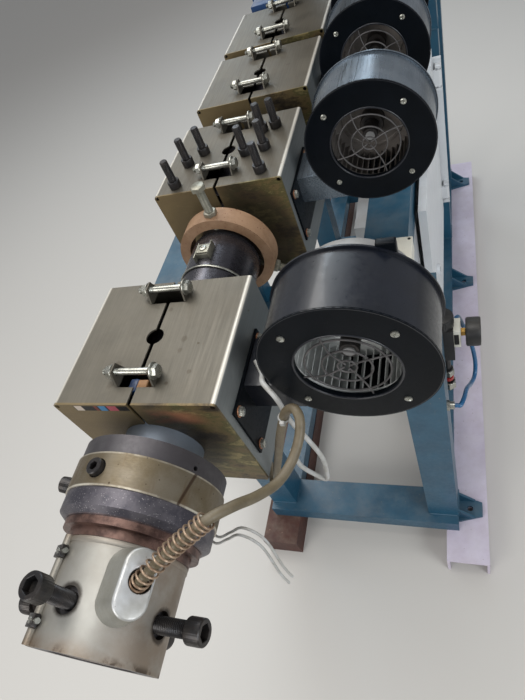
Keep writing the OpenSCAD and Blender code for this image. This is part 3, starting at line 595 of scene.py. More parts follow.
def spot(s, where, inner, outer, ragged):
    """A ragged round mask: 1 within the inner distance from a point, 0 past the outer one."""
    x, y, z = (float(v) for v in at(where))
    return s.placed(spots, X=x, Y=y, Z=z, Inner=inner / 1000, Outer=outer / 1000, Ragged=ragged)["Mask"]


print("recipe ready")

# %% [markdown]
# The stainless covers carry the story of the machine's heat. Their bent
# edges carry a painted highlight, and each right flank a painted lighter,
# cooler grey, as if lit from the right. The flat tops are a warm grey with
# small brown drips. The smudges stand where hands and oil left them.

# %% Marks on the covers' tops
SMUDGES = [(7, 350, 3.5, 0.5), (59, 299, 2.2, 0.8), (40, 306, 5.0, 0.42), (39, 290, 4.2, 0.42),
           (37, 248, 3.4, 0.7), (59, 262, 3.0, 0.45), (-35, 271, 8.5, 0.5), (27, 250, 6.0, 0.38),
           (-33, 246, 6.0, 0.4), (31, 372, 7.0, 0.35), (-70, 690, 6.0, 0.35), (30, 640, 6.0, 0.4),
           (-28, 604, 7.0, 0.45), (52, 905, 5.0, 0.4), (-40, 840, 7.0, 0.4), (26, 1060, 6.0, 0.4)]


def cover_tops(s, colour, right):
    """Painted highlights along both top bends, a painted lighter right flank, brown smudges and drips.
    right is a mask that rises from 0 to 1 over the first 40 mm right of the barrel's line."""
    # Painted highlight: a pale tint along both top bends, where the bends catch the light.
    edges = s.maths("MAXIMUM", s.along("X", 93.5, 97.5), s.along("X", -93.5, -97.5))
    colour = s.tint(colour, (236, 232, 222), edges, s.along("Z", 1079.5, 1083.5), 0.75)
    # Painted light: from x = 99.6 mm on, the right flank is tinted a lighter, cooler grey.
    colour = s.tint(colour, (126, 130, 130), s.along("X", 98.8, 99.6))
    drips = s.noise(75.0, 5.0, 0.7)
    for x, y, reach, depth in SMUDGES:
        colour = s.tint(colour, (62, 52, 38), spot(s, [x, y, COVER_TOP], 0.4 * reach, reach, drips), depth)
    return s.tint(colour, (92, 72, 50), s.between(drips, 0.66, 0.73), s.scaled(right, 0.45, 0.12))


print(len(SMUDGES), "smudges")

# %% [markdown]
# The front plates, close to the hot barrel, have run through copper, brass
# and green: olive on the left half, soot and colour on the right one. All of
# it depends on where a point lies, so it is drawn with masks on the frame's
# own axes. Under the first cover's fold, on the left half, a dark band is
# painted shade for the slot there, and the ends of wires are painted in it.

# %% Marks on the front plates
HEAT = [(0.32, (36, 31, 26)), (0.42, (76, 65, 47)), (0.50, (116, 99, 66)),
        (0.57, (88, 84, 52)), (0.64, (148, 134, 90)), (0.76, (96, 80, 58))]
# The first entry is painted shade for the slot; the others are the colours of the wires' ends.
SLOT_SHADE_AND_WIRES = [(-74, -3, (14, 12, 11)), (-73, -62, (196, 184, 172)), (-47, -42, (110, 44, 30)),
        (-41, -31, (66, 128, 172)), (-30, -17, (176, 84, 96))]


def heat_ramp(s):
    """Streaks of noise sent through the row of heat colours."""
    ramp = s.new("ShaderNodeValToRGB")
    stops = ramp.color_ramp.elements
    while len(stops) < len(HEAT):
        stops.new(0.5)
    for stop, (position, tint) in zip(stops, HEAT):
        stop.position, stop.color = position, srgb(*tint)
    s.feed(ramp.inputs["Fac"], s.noise(30.0, 6.0, 0.66, (0.6, 1, 1.3)))
    return ramp.outputs["Color"]


def front_plates(s, colour, right):
    """Heat colours, copper and soot on the plates; on the first one, painted shade for the slot and the flat
    colours of its wires.
    """
    front, *others = COVER_FRONTS
    first = plate = s.less(1.0, s.along("Y", front + 2.2, front + 3.0))
    for y in others:
        plate = s.maths("ADD", plate, s.band("Y", y - 1.0, y - 0.5, y + 2.2, y + 3.0))
    colour = s.tint(colour, (116, 98, 64), plate, s.less(1.0, right), 0.8)
    colour = s.tint(colour, heat_ramp(s), plate, s.scaled(right, 0.85, 0.1))
    cloud = s.noise(30.0, 5.0, 0.7, (0.5, 1, 1.2))
    colour = s.tint(colour, (160, 106, 78), s.band("Z", 1046, 1056, 1066, 1080), s.band("X", 6, 18, 50, 88),
                    s.between(cloud, 0.38, 0.55), first, 0.9)
    for y, reach in ((front, 80), (others[0], 104)):
        soot = spot(s, [0, y, AXIS], reach - 18, reach + 8, cloud)
        colour = s.tint(colour, (44, 38, 32), soot, plate, s.scaled(right, 0.5, 0.25))
    # Painted shade: the slot under the first cover's fold, a dark band with the wires' ends in it.
    slot = s.times(s.band("Z", 1073.8, 1074.4, 1083.2, 1083.8), first)
    for x0, x1, tint in SLOT_SHADE_AND_WIRES:
        colour = s.tint(colour, tint, slot, s.band("X", x0, x0 + 1, x1 - 1, x1))
    return colour


def cover_marks(s, colour):
    """The marks of the tops, then those of the front plates."""
    right = s.along("X", 0, 40)
    return front_plates(s, cover_tops(s, colour, right), right)


print(len(HEAT), "heat colours")

# %% [markdown]
# The die's own parts have marks too: brown veils and painted shade on the
# left of the heater's jacket, painted highlights on the clamp ring's edges and
# a thin crack, rust ahead of the flange, painted shade on the cap's sides, and
# a bright neck where the barrel is bare.

# %% Marks round the die
def heater_marks(s, colour):
    """Painted shade on the jacket's left side, brown heat veils at its rims and right side, soot in ragged spots at
    the front.
    """
    cloud = s.noise(30.0, 5.0, 0.65)
    # Painted shade: the jacket's left side, left of x = 4 mm, is darkened.
    colour = s.tint(colour, (104, 94, 78), s.less(1.0, s.along("X", -50, 4)), 0.55)
    rim = s.times(s.less(1.0, s.along("Y", -1, 16)), 0.75)
    right = s.times(s.along("X", 20, 58), 0.6)
    back = s.times(s.along("Y", 84, 97), 0.45)
    heat = s.maths("MAXIMUM", rim, s.maths("MAXIMUM", right, back))
    colour = s.tint(colour, (122, 100, 78), heat, s.scaled(s.between(cloud, 0.3, 0.62), 0.6, 0.4))
    front = s.less(1.0, s.along("Y", 0, 7))
    colour = s.tint(colour, (46, 36, 30), front, s.between(cloud, 0.5, 0.6), 0.75)
    for angle in SCREW_ANGLES:
        colour = s.tint(colour, (44, 36, 30), spot(s, around(angle, 39, 62), 12.5, 16.5, cloud), 0.85)
    return colour


def clamp_marks(s, colour):
    """Painted highlights on the front and back edges, broken by noise, brown lines of oil, and a crack: the line x
    - x0 = 0.15 (y - y0).
    """
    # Painted highlight: pale bands on the ring's front and back edges, where no chamfer is modelled.
    front = s.less(1.0, s.along("Y", 137.0, 138.6))
    back = s.times(s.along("Y", 168.8, 170.0), 0.5)
    colour = s.tint(colour, (206, 200, 186), s.maths("MAXIMUM", front, back),
                    s.between(s.noise(22.0, 4.0, 0.6), 0.32, 0.6))
    oil = s.between(s.noise(60.0, 3.0, 0.6, (1, 0.16, 1)), 0.55, 0.7)
    colour = s.tint(colour, (92, 68, 40), oil, 0.5)
    x0, y0, _ = (float(v) for v in at([70.0, 154.0, AXIS]))
    x, y, _ = s.split(s.place())
    gap = s.scaled(s.less(y, y0), -0.15, s.less(x, x0))
    crack = s.less(1.0, s.between(s.maths("ABSOLUTE", gap), 0.0004, 0.0013))
    return s.tint(colour, (54, 34, 20), crack, 0.8)


def flange_marks(s, colour):
    """The collar and the ring ahead of the bevelled flange are red with rust."""
    rust = s.mix(s.between(s.noise(55.0, 5.0, 0.7), 0.4, 0.62), (108, 82, 72), (66, 44, 36))
    return s.tint(colour, rust, s.less(1.0, s.along("Y", 110.5, 113.5)), 0.9)


def cap_painted_shade(s, colour):
    """Painted shade: below the cap's top, measured along the cap's own direction, the sides are darkened."""
    way = outward(CAP_ANGLE)
    height = s.new("ShaderNodeVectorMath")
    height.operation = "DOT_PRODUCT"
    s.feed(height.inputs[0], s.place())
    s.feed(height.inputs[1], tuple(float(v) for v in way))
    top = float(at(around(CAP_ANGLE, 0, 96.4)) @ way)
    # Painted shade on the cap's sides, below the top.
    shaded_sides = s.less(1.0, s.between(height.outputs["Value"], top - 0.001, top))
    return s.tint(colour, (126, 124, 112), shaded_sides, 0.75)


def barrel_marks(s, colour):
    """Between its flange and the first cover the barrel is bright, with a blue tint."""
    return s.tint(colour, (120, 129, 140), s.band("Y", 191.0, 191.6, 224, 230))


print("marks for the heater, the clamp ring, the flange, the cap and the barrel")

# %% [markdown]
# The steels come first: stainless sheet, burnt steel by the die, zinc on the
# bolts and the later blowers. Their colours are those of the metal, and the
# lamps do the rest.

# %% Steel finishes
finish("cover_sheet", (95, 91, 82), (85, 81, 72), 0.5, 0.55, (8, 0.25), bump=0.02, dusty=0.08,
       brush=("y", 700, 0.04), stain=((98, 84, 66), 110, 0.04), marks=cover_marks)
finish("bright_steel", (172, 171, 166), (148, 144, 136), 0.54, 0.8, (14, 0.3), bump=0.02,
       rough_spread=0.05, stain=((92, 76, 58), 120, 0.05), marks=heater_marks)
finish("clamp_steel", (120, 112, 98), (98, 86, 64), 0.5, 0.7, (18, 0.2), bump=0.02,
       brush=("x", 900, 0.06), stain=((68, 56, 42), 120, 0.14), marks=clamp_marks)
finish("barrel_steel", (86, 84, 86), (74, 71, 74), 0.5, 0.7, (26, 0.16), bump=0.06,
       stain=((66, 56, 54), 160, 0.12), marks=barrel_marks)
finish("dark_steel", (90, 87, 93), (66, 64, 72), 0.44, 0.6, (44, 0.1), bump=0.2,
       stain=((140, 136, 138), 420, 0.2), marks=flange_marks)
finish("black_oxide", (46, 45, 46), (58, 54, 52), 0.36, 0.6, (60, 0.12), bump=0.12,
       stain=((92, 66, 50), 240, 0.1))
finish("cast_aluminium", (196, 198, 200), (164, 163, 158), 0.42, 0.5, (26, 0.2), bump=0.08,
       stain=((122, 114, 100), 120, 0.07), marks=cap_painted_shade)
finish("spring_steel", (162, 140, 118), (122, 98, 78), 0.42, 0.45, (90, 0.14))
finish("rusty_steel", (150, 120, 94), (132, 102, 76), 0.62, 0.1, (36, 0.14), bump=0.2,
       stain=((112, 72, 56), 180, 0.18))
finish("zinc_steel", (176, 176, 168), (146, 146, 138), 0.3, 0.85, (60, 0.15),
       stain=((118, 102, 70), 220, 0.1))
finish("dull_zinc", (148, 146, 134), (122, 120, 108), 0.42, 0.7, (60, 0.15), bump=0.08,
       stain=((104, 92, 66), 220, 0.12))
finish("blued_steel", (92, 91, 96), (70, 69, 75), 0.27, 0.85, (22, 0.2),
       stain=((104, 88, 72), 130, 0.05))
# The first drum's vanes: a near-white zinc, painted lighter so that the inside of the first blower looks lit.
finish("zinc_vanes_painted_lighter", (222, 224, 222), (204, 206, 204), 0.45, 0.15, (20, 0.12), bump=0.04,
       stain=((150, 146, 138), 160, 0.06))
# A darker, browner copy of the same vanes, for the other drums.
finish("zinc_vanes_darker", (142, 136, 131), (108, 101, 96), 0.5, 0.2, (20, 0.2), bump=0.04,
       stain=((168, 160, 150), 160, 0.05))
finish("zinc_sheet", (118, 128, 138), (102, 112, 122), 0.3, 0.8, (20, 0.12), bump=0.04, dusty=0.1,
       brush=("y", 500, 0.06))
finish("guard_wire", (88, 86, 86), (66, 64, 64), 0.45, 0.3, (60, 0.15))
finish("copper", (178, 128, 98), (146, 98, 72), 0.4, 0.7, (90, 0.2))
finish("brass", (186, 150, 84), (160, 124, 66), 0.3, 0.9, (60, 0.2))
print(len(finishes), "steel and metal finishes")

# %% [markdown]
# Paint and plastic have no metal in them: a colour, a soft gloss, some dirt.
# The first blower's band is glossier than the other black paint, and shop
# paint in blue-green, lilac and dark red covers the stand.

# %% Paints and plastics
finish("black_paint", (7, 10, 14), (10, 14, 19), 0.34, blotch=(24, 0.2), bump=0.02, gloss=0.08,
       stain=((40, 38, 36), 120, 0.03))
finish("black_gloss", (11, 14, 21), (17, 21, 31), 0.34, blotch=(16, 0.3), bump=0.02, gloss=0.4, coat=0.3,
       stain=((44, 42, 40), 120, 0.03))
finish("motor_paint", (150, 150, 150), (132, 132, 132), 0.45, 0.4, (20, 0.2), bump=0.06, dusty=0.25)
finish("teal_paint", (32, 80, 104), (25, 66, 88), 0.42, blotch=(12, 0.22), coat=0.1, dusty=0.1,
       stain=((120, 112, 98), 70, 0.08))
finish("lilac_paint", (204, 197, 212), (190, 180, 196), 0.45, blotch=(14, 0.2), bump=0.06, dusty=0.12,
       stain=((124, 104, 98), 60, 0.09))
finish("red_paint", (80, 44, 34), (62, 34, 28), 0.6, blotch=(14, 0.2), bump=0.1, dusty=0.2,
       stain=((140, 112, 96), 60, 0.1))
finish("blue_paint", (38, 74, 122), (30, 60, 104), 0.42, blotch=(12, 0.2), bump=0.06, coat=0.2, dusty=0.3,
       stain=((60, 60, 62), 80, 0.08))
finish("cabinet_paint", (212, 216, 220), (202, 205, 208), 0.45, blotch=(8, 0.25), bump=0.04,
       bump_scale=0.6, coat=0.1, dusty=0.2, stain=((140, 132, 118), 60, 0.05))
finish("beige_plastic", (214, 212, 200), (204, 200, 186), 0.42, blotch=(20, 0.2), dusty=0.2,
       stain=((128, 114, 94), 110, 0.06))
finish("black_plastic", (20, 20, 22), (30, 30, 31), 0.42, blotch=(40, 0.2), bump=0.06, dusty=0.08)
finish("olive_cable", (104, 94, 74), (86, 76, 58), 0.5, blotch=(70, 0.2), dusty=0.15,
       stain=((96, 84, 64), 160, 0.14))
finish("white_cable", (178, 179, 178), (156, 154, 148), 0.5, blotch=(80, 0.2), bump=0.1,
       stain=((124, 108, 86), 200, 0.1))
finish("blue_tube", (22, 88, 132), (18, 78, 120), 0.28, blotch=(40, 0.2), bump=0.02, coat=0.3)
finish("red_plastic", (176, 44, 40), (150, 36, 34), 0.4, blotch=(40, 0.2), bump=0.03)
finish("dial_face", (226, 224, 214), (216, 213, 202), 0.4, blotch=(40, 0.2), bump=0.01)
finish("dark_slot", (26, 24, 22), (18, 17, 16), 0.8, blotch=(60, 0.2), bump=0.1)
finish("tan_board", (186, 140, 96), (160, 116, 78), 0.6, blotch=(60, 0.2), bump=0.1)
print(len(finishes), "finishes")

# %% [markdown]
# Each solid gets its finish from the slot that the record gives it. The
# meshes of the frame stay as they are; only their material slots change.

# %% Finishes on the solids
for part in frame["record"]["subparts"]:
    mesh = nodes[part["node"]].data
    mesh.materials.clear()
    mesh.materials.append(finishes[part["material_slot"]])
nodes["blower_band_1"].data.materials[0] = finishes["black_gloss"]

# %% [markdown]
# ## Cables
# The cables were measured above; here each one becomes a tube of its real
# thickness. A tie holds the die's cable where it makes its loop: a thin ring
# across the cable, found at the point of the curve nearest to it.

# %% Cables
loop = paths["die_cable"]
k = int(np.argmin(np.linalg.norm(loop - [158, 229, 1050], axis=1)))
tie = piece("cable_tie", [moved(ring_of(4.9, 5.9, -1.3, 1.3, 0.2, 0.4, 40), loop[k], loop[k + 1] - loop[k - 1]),
                          slab(loop[k] + [-2.4, -8.6, -2.6], loop[k] + [2.4, -4.9, 2.6])], "white_cable")
for name, c in CORDS.items():
    path = at(paths[name])
    cable = piece(name + "_round", [tube(paths[name], c["width"] / 2)], c["slot"], replaces=[name])
    tuple(float(v) for v in path[0])
    length_of(path)
    [tuple(float(v) for v in p) for p in path]

# %% [markdown]
# ## Socket screws
# The four big screws that centre the die's insert are the sharpest detail in
# front of the camera. The thread is a circle whose radius falls and rises
# once per turn and per pitch; the knurl is a fine ripple round the head; and
# the key's socket is a hexagon sunk into the top.

# %% Socket screws
def thread(d, length, pitch, steps=6, count=32, point=1.2):
    """Radius at height z and angle a: the full radius less a saw wave of z / pitch - a / turn."""
    z = np.linspace(0, -length, max(4, int(length / pitch * steps)))[:, None]
    a = np.arange(count)[None] / count
    wave = np.abs(((z / pitch - a) % 1.0) * 2 - 1)
    r = np.minimum(d / 2 - 0.61 * pitch * (1 - wave), d / 2 - point + (z + length) * 0.8)
    profile = np.concatenate([[[0, 0]], np.concatenate([np.full_like(z, d / 2), z], 1), [[0, -length]]])
    return turned(profile, count, np.concatenate([np.zeros((1, count)), r, np.zeros((1, count))]))


def socket_head(d, height, flats, count=96):
    """Head of a socket screw, its underside at z = 0: ripple on the side, sunk hexagon on top."""
    big = 0.75 * d
    profile = np.array([[0, 0], [big - 0.5, 0], [big, 0.5], [big, height * 0.82], [big - 0.2, height - 0.9],
                        [big - 1.1, height], [0, height], [0, height - 0.5], [0, height * 0.5],
                        [0, height * 0.45]])
    r = np.broadcast_to(profile[:, :1], (len(profile), count)).copy()
    r[2:4] -= 0.018 * d * np.abs(np.sin(np.arange(count) * np.pi / 3))
    r[6:9] = hexagon(flats, count)
    r[6] += 0.5
    return turned(profile, count, r)


def socket_screws(places, d, height, shank, pitch, flats):
    """Screws with a head's diameter, height and socket, at places (foot, direction, spin)."""
    parts = [socket_head(d, height, flats), thread(d, shank, pitch)]
    return [moved(p, *place) for place in places for p in parts]


screws = socket_screws([(around(a, 39, 92), outward(a), 20 * k) for k, a in enumerate(SCREW_ANGLES)],
                       16, 16, 58, 2.0, 13.6)
piece("die_screws_threaded", screws, "black_oxide", replaces=["die_screws"])
clamp = []
for angle, height in ((98, 18), (163, 29)):
    clamp += socket_screws([(around(angle, 153.5, 69.5), outward(angle), 12)], 12, height, 25, 1.75, 8.0)
piece("clamp_screws_cut", clamp, "black_oxide", replaces=["clamp_screws"])

# %% [markdown]
# Eight more of these screws stand loose on the second cover, head down, as
# somebody put them there.

# %% Spare screws
SPARE = [[-67, 17], [-61, 69], [-41, 93], [33, 71], [67, 21], [62, 76], [49, 124], [69, 130]]
loose = socket_screws([([x, COVER_FRONTS[1] + y, COVER_TOP + 12.1], -UP, 17 * k)
                       for k, (x, y) in enumerate(SPARE)], 12, 12, 32, 1.75, 10)
piece("spare_screws_threaded", loose, "black_oxide", replaces=["spare_screws"])

# %% [markdown]
# ## Bolts that close the covers
# A hexagon bolt's head is a hexagon cut by a blunt cone, which leaves the
# curved bright corners that show from afar. At each angle the radius is the
# smaller of the hexagon's and the cone's. The shank is plain under the head
# and threaded at its end, where a nut and a washer sit.

# %% Hexagon bolts
def hex_head(flats, height, count=96):
    """A hexagon prism whose top is cut by a cone: the radius is the smaller of the two."""
    z = np.concatenate([[0, 0], np.linspace(height * 0.7, height, 7), [height]])
    cone = flats * 0.475 + (height - z)[:, None] * 1.75
    r = np.minimum(hexagon(flats, count)[None], cone)
    r[0] = r[-1] = 0
    return turned(np.stack([z * 0, z], -1), count, r)


def washer(d_out, d_in, thick, count=48):
    """A flat ring with a slightly rounded rim."""
    return ring_of(d_in / 2, d_out / 2, 0, thick, 0.25 * thick, 0.25 * thick, count)


closers = []
shank = turned([[0, 0], [3.95, 0], [3.95, 42], [3.7, 42.5], [0, 42.5]], 32)
for y0 in COVER_FRONTS:
    for w in (34.5, 152.5):
        middle = np.array([0, y0 + w, COVER_TOP + 11.5])
        closers += [moved(part, middle + x * ACROSS, way, spin) for part, x, way, spin in (
            (washer(19, 8.6, 1.5), 24.1, ACROSS, 0), (hex_head(13.2, 5.6), 25.6, ACROSS, 11 + w),
            (shank, -17, ACROSS, 0), (thread(7.9, 21, 1.25, count=24), -17, ACROSS, 0),
            (washer(17, 8.6, 1.5), -25.6, ACROSS, 0), (hex_head(13, 6.5), -25.6, -ACROSS, 7 + w))]
piece("cover_bolts_zinc", closers, "zinc_steel", replaces=["cover_bolts"])

# %% [markdown]
# ## Strain relief
# The spring round the cable is a thin round wire wound about the cable's own
# curve: its centre line is the cable's curve plus a circle across it, one
# turn for each step along. A tube along that line is the wire.

# %% Spring
STEPS, STEPS_A_TURN, COIL_RADIUS = 421, 24, 7.6
core = smooth(SPRING_LINE, STEPS)
s, q = sides_of(core)
wind = (np.arange(STEPS) / STEPS_A_TURN * 2 * np.pi)[:, None]
coil = core + COIL_RADIUS * (np.cos(wind) * s + np.sin(wind) * q)
piece("spring_wire", [tube(coil, 1.05, 8)], "spring_steel", replaces=["strain_spring"])

# %% [markdown]
# ## Terminal cap
# The cap over the heater's terminals is a die casting: an oblong that gets
# smaller towards its top, with a round hole for the spring. Each level is
# one oblong outline, two half circles joined by straight sides, and the
# levels are joined into one skin with soft edges.

# %% Terminal cap
AROUND = 96
turn = (np.arange(AROUND) + 0.5) * 2 * np.pi / AROUND


def level(x, y, z):
    """One row of the skin, at height z."""
    return np.stack([x, y, np.full(AROUND, float(z))], -1)


def oblong(length, width, shift, z):
    """Two half circles joined by straight sides, walked at an even angle."""
    y = width / 2 * np.sin(turn) + np.sign(np.sin(turn)) * (length - width) / 2
    return level(width / 2 * np.cos(turn) + shift, y, z)


rows = [level(-2.0 + 0 * turn, 0 * turn, 50)]
for z, inset in ((50, 0), (62, 0), (74, 0), (86, 0), (95.4, 0), (96.8, 0.4), (97.6, 1.1), (98.0, 2.2)):
    up = (z - 50) / 48
    rows.append(oblong(69 - 11.5 * up - 2 * inset, 41 - 11.5 * up - 2 * inset, 7 * up - 2, z))
rows += [level(7.6 + r * np.cos(turn), 2.3 + r * np.sin(turn), z)
         for r, z in ((11.0, 98.0), (10.4, 97.7), (10.2, 97.0), (10.2, 74.0), (0.0, 74.0))]
casting = laid(grid(np.stack(rows), wrap=True), CAP_ANGLE, [0, 59, AXIS])
piece("terminal_cap_cast", [casting], "cast_aluminium", replaces=["terminal_cap"], sharp=60)

# %% [markdown]
# ## Die heater
# The jacket ends in a narrow ledge at its back. The pulling screws of its
# seam sit in black notched blocks, and each shows a round pale end.

# %% Heater ledge and seam screws
ledge = turned([[61.8, -2.8], [62.4, -2.8], [62.7, -2.3], [62.7, 2.3], [62.4, 2.7], [61.8, 2.7], [61.8, -2.8]],
               128)
piece("heater_ledge", [moved(ledge, [0, 92.2, AXIS], ALONG)], "bright_steel")
pin_head = turned([[0, 0], [3.1, 0], [3.3, 0.6], [2.9, 1.6], [1.6, 2.1], [0, 2.2]], 40)
blocks, pins = [], []
for y in (19, 79):
    blocks += [laid(slab([-8.0, half - 2.7, 62.6], [8.0, half + 2.7, 68.8], 0.7), SEAM_ANGLE, [0, y, AXIS])
               for half in (-3.0, 3.0)]
    pins += [moved(rod(2.5, -9, 13, 32), around(SEAM_ANGLE, y, 65.4), sideways(SEAM_ANGLE)),
             moved(pin_head, around(SEAM_ANGLE, y, 67.6), outward(SEAM_ANGLE))]
piece("seam_blocks", blocks, "black_oxide", replaces=["heater_clamps"])
piece("seam_screws", pins, "zinc_steel")

# %% [markdown]
# ## Blowers
# Each blower's face is pressed sheet with a rolled rim, four cross-head
# screws, and a guard of three wire rings on bent spokes. A spoke is a tube
# whose centre line leans out of the plane and back, as bent wire does.

# %% Blower rims, screws and guards
BLOWERS = [np.array([x, y, 1085.0]) for x, y in ((224, 261), (215, 618), (203, 853), (197, 1053))]
SCREW_REACH = (-49.5, 49.5)


def cross_screw(d=7.4, count=48):
    """A pan head with a cross: the top's height drops near the two diameters."""
    r = np.array([0, 0.25, 0.5, 0.75, 0.92, 1.0, 1.0])[:, None] * d / 2
    a = np.arange(count)[None] * 2 * np.pi / count
    x, y = r * np.cos(a), r * np.sin(a)
    top = 2.3 - 0.9 * (r / (d / 2)) ** 2
    groove = (np.minimum(np.abs(x), np.abs(y)) < 0.55) & (np.maximum(np.abs(x), np.abs(y)) < 2.3)
    z = np.where(groove, top - 0.9, top)
    z[-1] = 0
    return grid(np.stack([x, y, z], -1)[::-1], wrap=True)


def spoke(angle):
    """From radius 3 to 49 at an angle, 3.2 to the side and 1.4 to the front at its middle."""
    t = np.linspace(0, 1, 26)[:, None]
    bend = np.sin(np.pi * t)
    line = outward(angle) * (3 + 46 * t) - sideways(angle) * 3.2 * bend - ALONG * 1.4 * bend ** 2
    return tube(line + [0, 3.6, 0], 0.95, 8)


rims, backs, heads, wires = [], [], [], []
for k, centre in enumerate(BLOWERS):
    rims += [hoop(centre + 1.0 * ALONG, 84.4, 1.1, steps=128), hoop(centre + 0.6 * ALONG, 50.6, 1.3, steps=96)]
    backs.append(hoop(centre + 73.0 * ALONG, 84.4, 1.1, steps=128))
    heads += [moved(cross_screw(), centre + [dx, 0.02, dz], -ALONG, 20 + dx + 2 * dz + 31 * k)
              for dx in SCREW_REACH for dz in SCREW_REACH]
    wires += [hoop(centre + 3.5 * ALONG, r, 1.05, steps=64, sides=8) for r in (9, 23.5, 40)]
    wires += [moved(spoke(angle), centre) for angle in (20, 110, 200, 290)]
piece("blower_rims", rims, "black_gloss", "black_paint")
piece("blower_back_rims", backs, "black_gloss", "black_paint")
piece("face_screws", heads, "zinc_steel")
piece("guard_rings", wires, "guard_wire", replaces=["inlet_guards"])

# %% [markdown]
# An impeller is a drum of many narrow vanes between a front ring and a back
# disc. Each vane is a thin sheet that starts nearly radial and leans forward
# towards the rim. One vane is drawn as a closed outline, carried along the
# shaft, and turned round it 42 times. The four drums turn with their bodies.
# The first drum's vanes are painted a near-white zinc, so that they look lit
# inside the blower; the other three are a darker, browner copy.

# %% Impellers
VANES, INNER, OUTER = 42, 52.9, 65.2


def vane(angle, front=10.0, back=64.5, thick=0.8):
    """One vane: its middle line is at radius INNER + u (OUTER - INNER), moved sideways by
    -7 u^1.6; both sides of it, half a thickness away, make the outline."""
    u = np.linspace(0, 1, 7)
    r, lean = INNER + u * (OUTER - INNER), -7.0 * u ** 1.6
    outline = np.concatenate([np.stack([r, lean - thick / 2], -1), np.stack([r, lean + thick / 2], -1)[::-1]])
    c, s = math.cos(angle), math.sin(angle)
    x, z = outline[:, 0] * c - outline[:, 1] * s, outline[:, 0] * s + outline[:, 1] * c
    rows = np.stack([np.stack([x, np.full(len(x), y), z], -1) for y in (front, front, back, back)])
    rows[[0, 3]] = rows[[0, 3]].mean(1, keepdims=True)
    return grid(rows, wrap=True)


FRONT_RING = [[52.6, 9.4], [53.4, 9.0], [65.2, 9.0], [66, 9.6], [66, 11], [52.6, 11], [52.6, 9.4]]
BACK_DISC = [[16.2, 64], [38, 64], [39.5, 62.6], [42.5, 62.6], [44, 64], [66, 64], [66, 66], [16.2, 66],
             [16.2, 64]]
HUB = [[6.1, 46], [15.2, 46], [16, 46.8], [16, 66], [6.1, 66], [6.1, 46]]
COLLAR = [[6.1, 21.5], [9.4, 21.5], [10, 22.3], [10, 43.5], [9.2, 45.5], [6.1, 45.5], [6.1, 21.5]]
drum = [vane(k * 2 * math.pi / VANES) for k in range(VANES)]
drum += [moved(turned(profile, 128), [0, 0, 0], ALONG) for profile in (FRONT_RING, BACK_DISC)]
hub = [moved(turned(profile, count), [0, 0, 0], ALONG) for profile, count in ((HUB, 64), (COLLAR, 40))]
for k, centre in enumerate(BLOWERS):
    body = f"impeller_{k + 1}"
    # The first drum gets the vanes painted lighter; the others get the darker copy.
    piece(f"impeller_drum_{k + 1}", [moved(p, centre) for p in drum], "zinc_vanes_darker" if k else "zinc_vanes_painted_lighter",
          "zinc_sheet", body, [body])
    piece(f"hub_collar_{k + 1}", [moved(p, centre) for p in hub], "black_oxide", body=body)

# %% [markdown]
# Small bolts hold each blower's duct to its cover: hexagon heads on copper
# washers, at the corners of the flange.

# %% Duct bolts
duct_bolts, duct_washers = [], []
for y0 in COVER_FRONTS:
    for corner in ([103.1, y0 + y, AXIS + z] for y in (21, 118) for z in (-32, 39.5)):
        duct_washers.append(moved(washer(13, 6.4, 1.2), corner, ACROSS))
        duct_bolts += [moved(hex_head(10, 4.0, 48), corner + 1.2 * ACROSS, ACROSS, 13 * y0),
                       moved(rod(2.95, 0, 16, 24), corner + ACROSS, -ACROSS)]
piece("duct_bolts", duct_bolts, "zinc_steel")
piece("duct_washers", duct_washers, "copper", "zinc_steel")

# %% [markdown]
# ## Bolts of the steady ring
# The ring holds the barrel between three bolts: the one on top stands
# highest, with its thread in plain view.

# %% Steady bolts
steady = [moved(part, around(angle, 538.3, r), outward(angle), spin) for angle in (90, 210, 330)
          for part, r, spin in ((hex_head(18.5, 6.5), 113, 25), (thread(11.8, 66.5, 1.5), 113, 0),
                                (hex_head(17, 6), 71.3, 8))]
piece("steady_bolts_threaded", steady, "dull_zinc", "zinc_steel", replaces=["steady_bolts"])

# %% [markdown]
# ## Bare band heater
# Between the first two covers the barrel is bare. A band heater sits against
# the steady ring: a smooth blued sleeve with a rolled bright edge, pulled shut
# by one screw that stands on a folded plate. The barrel ahead of it is
# darker and thinner.

# %% Band heater
NECK, BAND, BACK = 419.2, 457.0, 524.0
sleeve = [[46.3, NECK], [49.4, NECK], [49.4, BAND], [50.6, BAND + 0.4], [50.6, BACK - 0.4], [46.3, BACK - 0.2],
          [46.3, NECK]]
edge = [[50.4, -0.2], [51.3, 0.0], [51.7, 0.7], [51.7, 2.3], [51.3, 3.0], [50.4, 3.2]]
plate = [slab([-10.5, 473, 1050.2], [9.5, 492, 1057.6], 0.5), slab([8.6, 470, 1050.0], [10.0, 495, 1063.0], 0.4),
         slab([-10.0, 474, 1057.4], [7.2, 491, 1060.2], 0.9), slab([-12.4, 466, 1049.2], [-10.6, 495, 1058.8], 0.4)]
piece("band_sleeve", [moved(turned(sleeve, 128), [0, 0, AXIS], ALONG)], "blued_steel", "bright_steel",
      replaces=["band_heater"])
piece("band_edges", [moved(turned(edge, 128), [0, BAND, AXIS], ALONG)], "zinc_steel")
piece("band_clamp", plate, "dull_zinc", "zinc_steel")
piece("band_screw", [moved(cross_screw(10.4), [-1.6, 482.5, 1060.0])], "zinc_steel")

# %% [markdown]
# ## Motors of the blowers
# Behind each blower a pale ring of the motor's housing stands out over the
# motor, and the nearest one shows above the blower's rear rim.

# %% Motor rings
ring = turned([[51.5, 18], [58.6, 19], [60.2, 20.6], [60.2, 36.5], [58.8, 38.4], [52, 39.6], [44, 39.9],
               [44, 39], [51.5, 38], [51.5, 18]], 96)
piece("motor_rings", [moved(ring, centre + 73.0 * ALONG, ALONG) for centre in BLOWERS], "motor_paint")

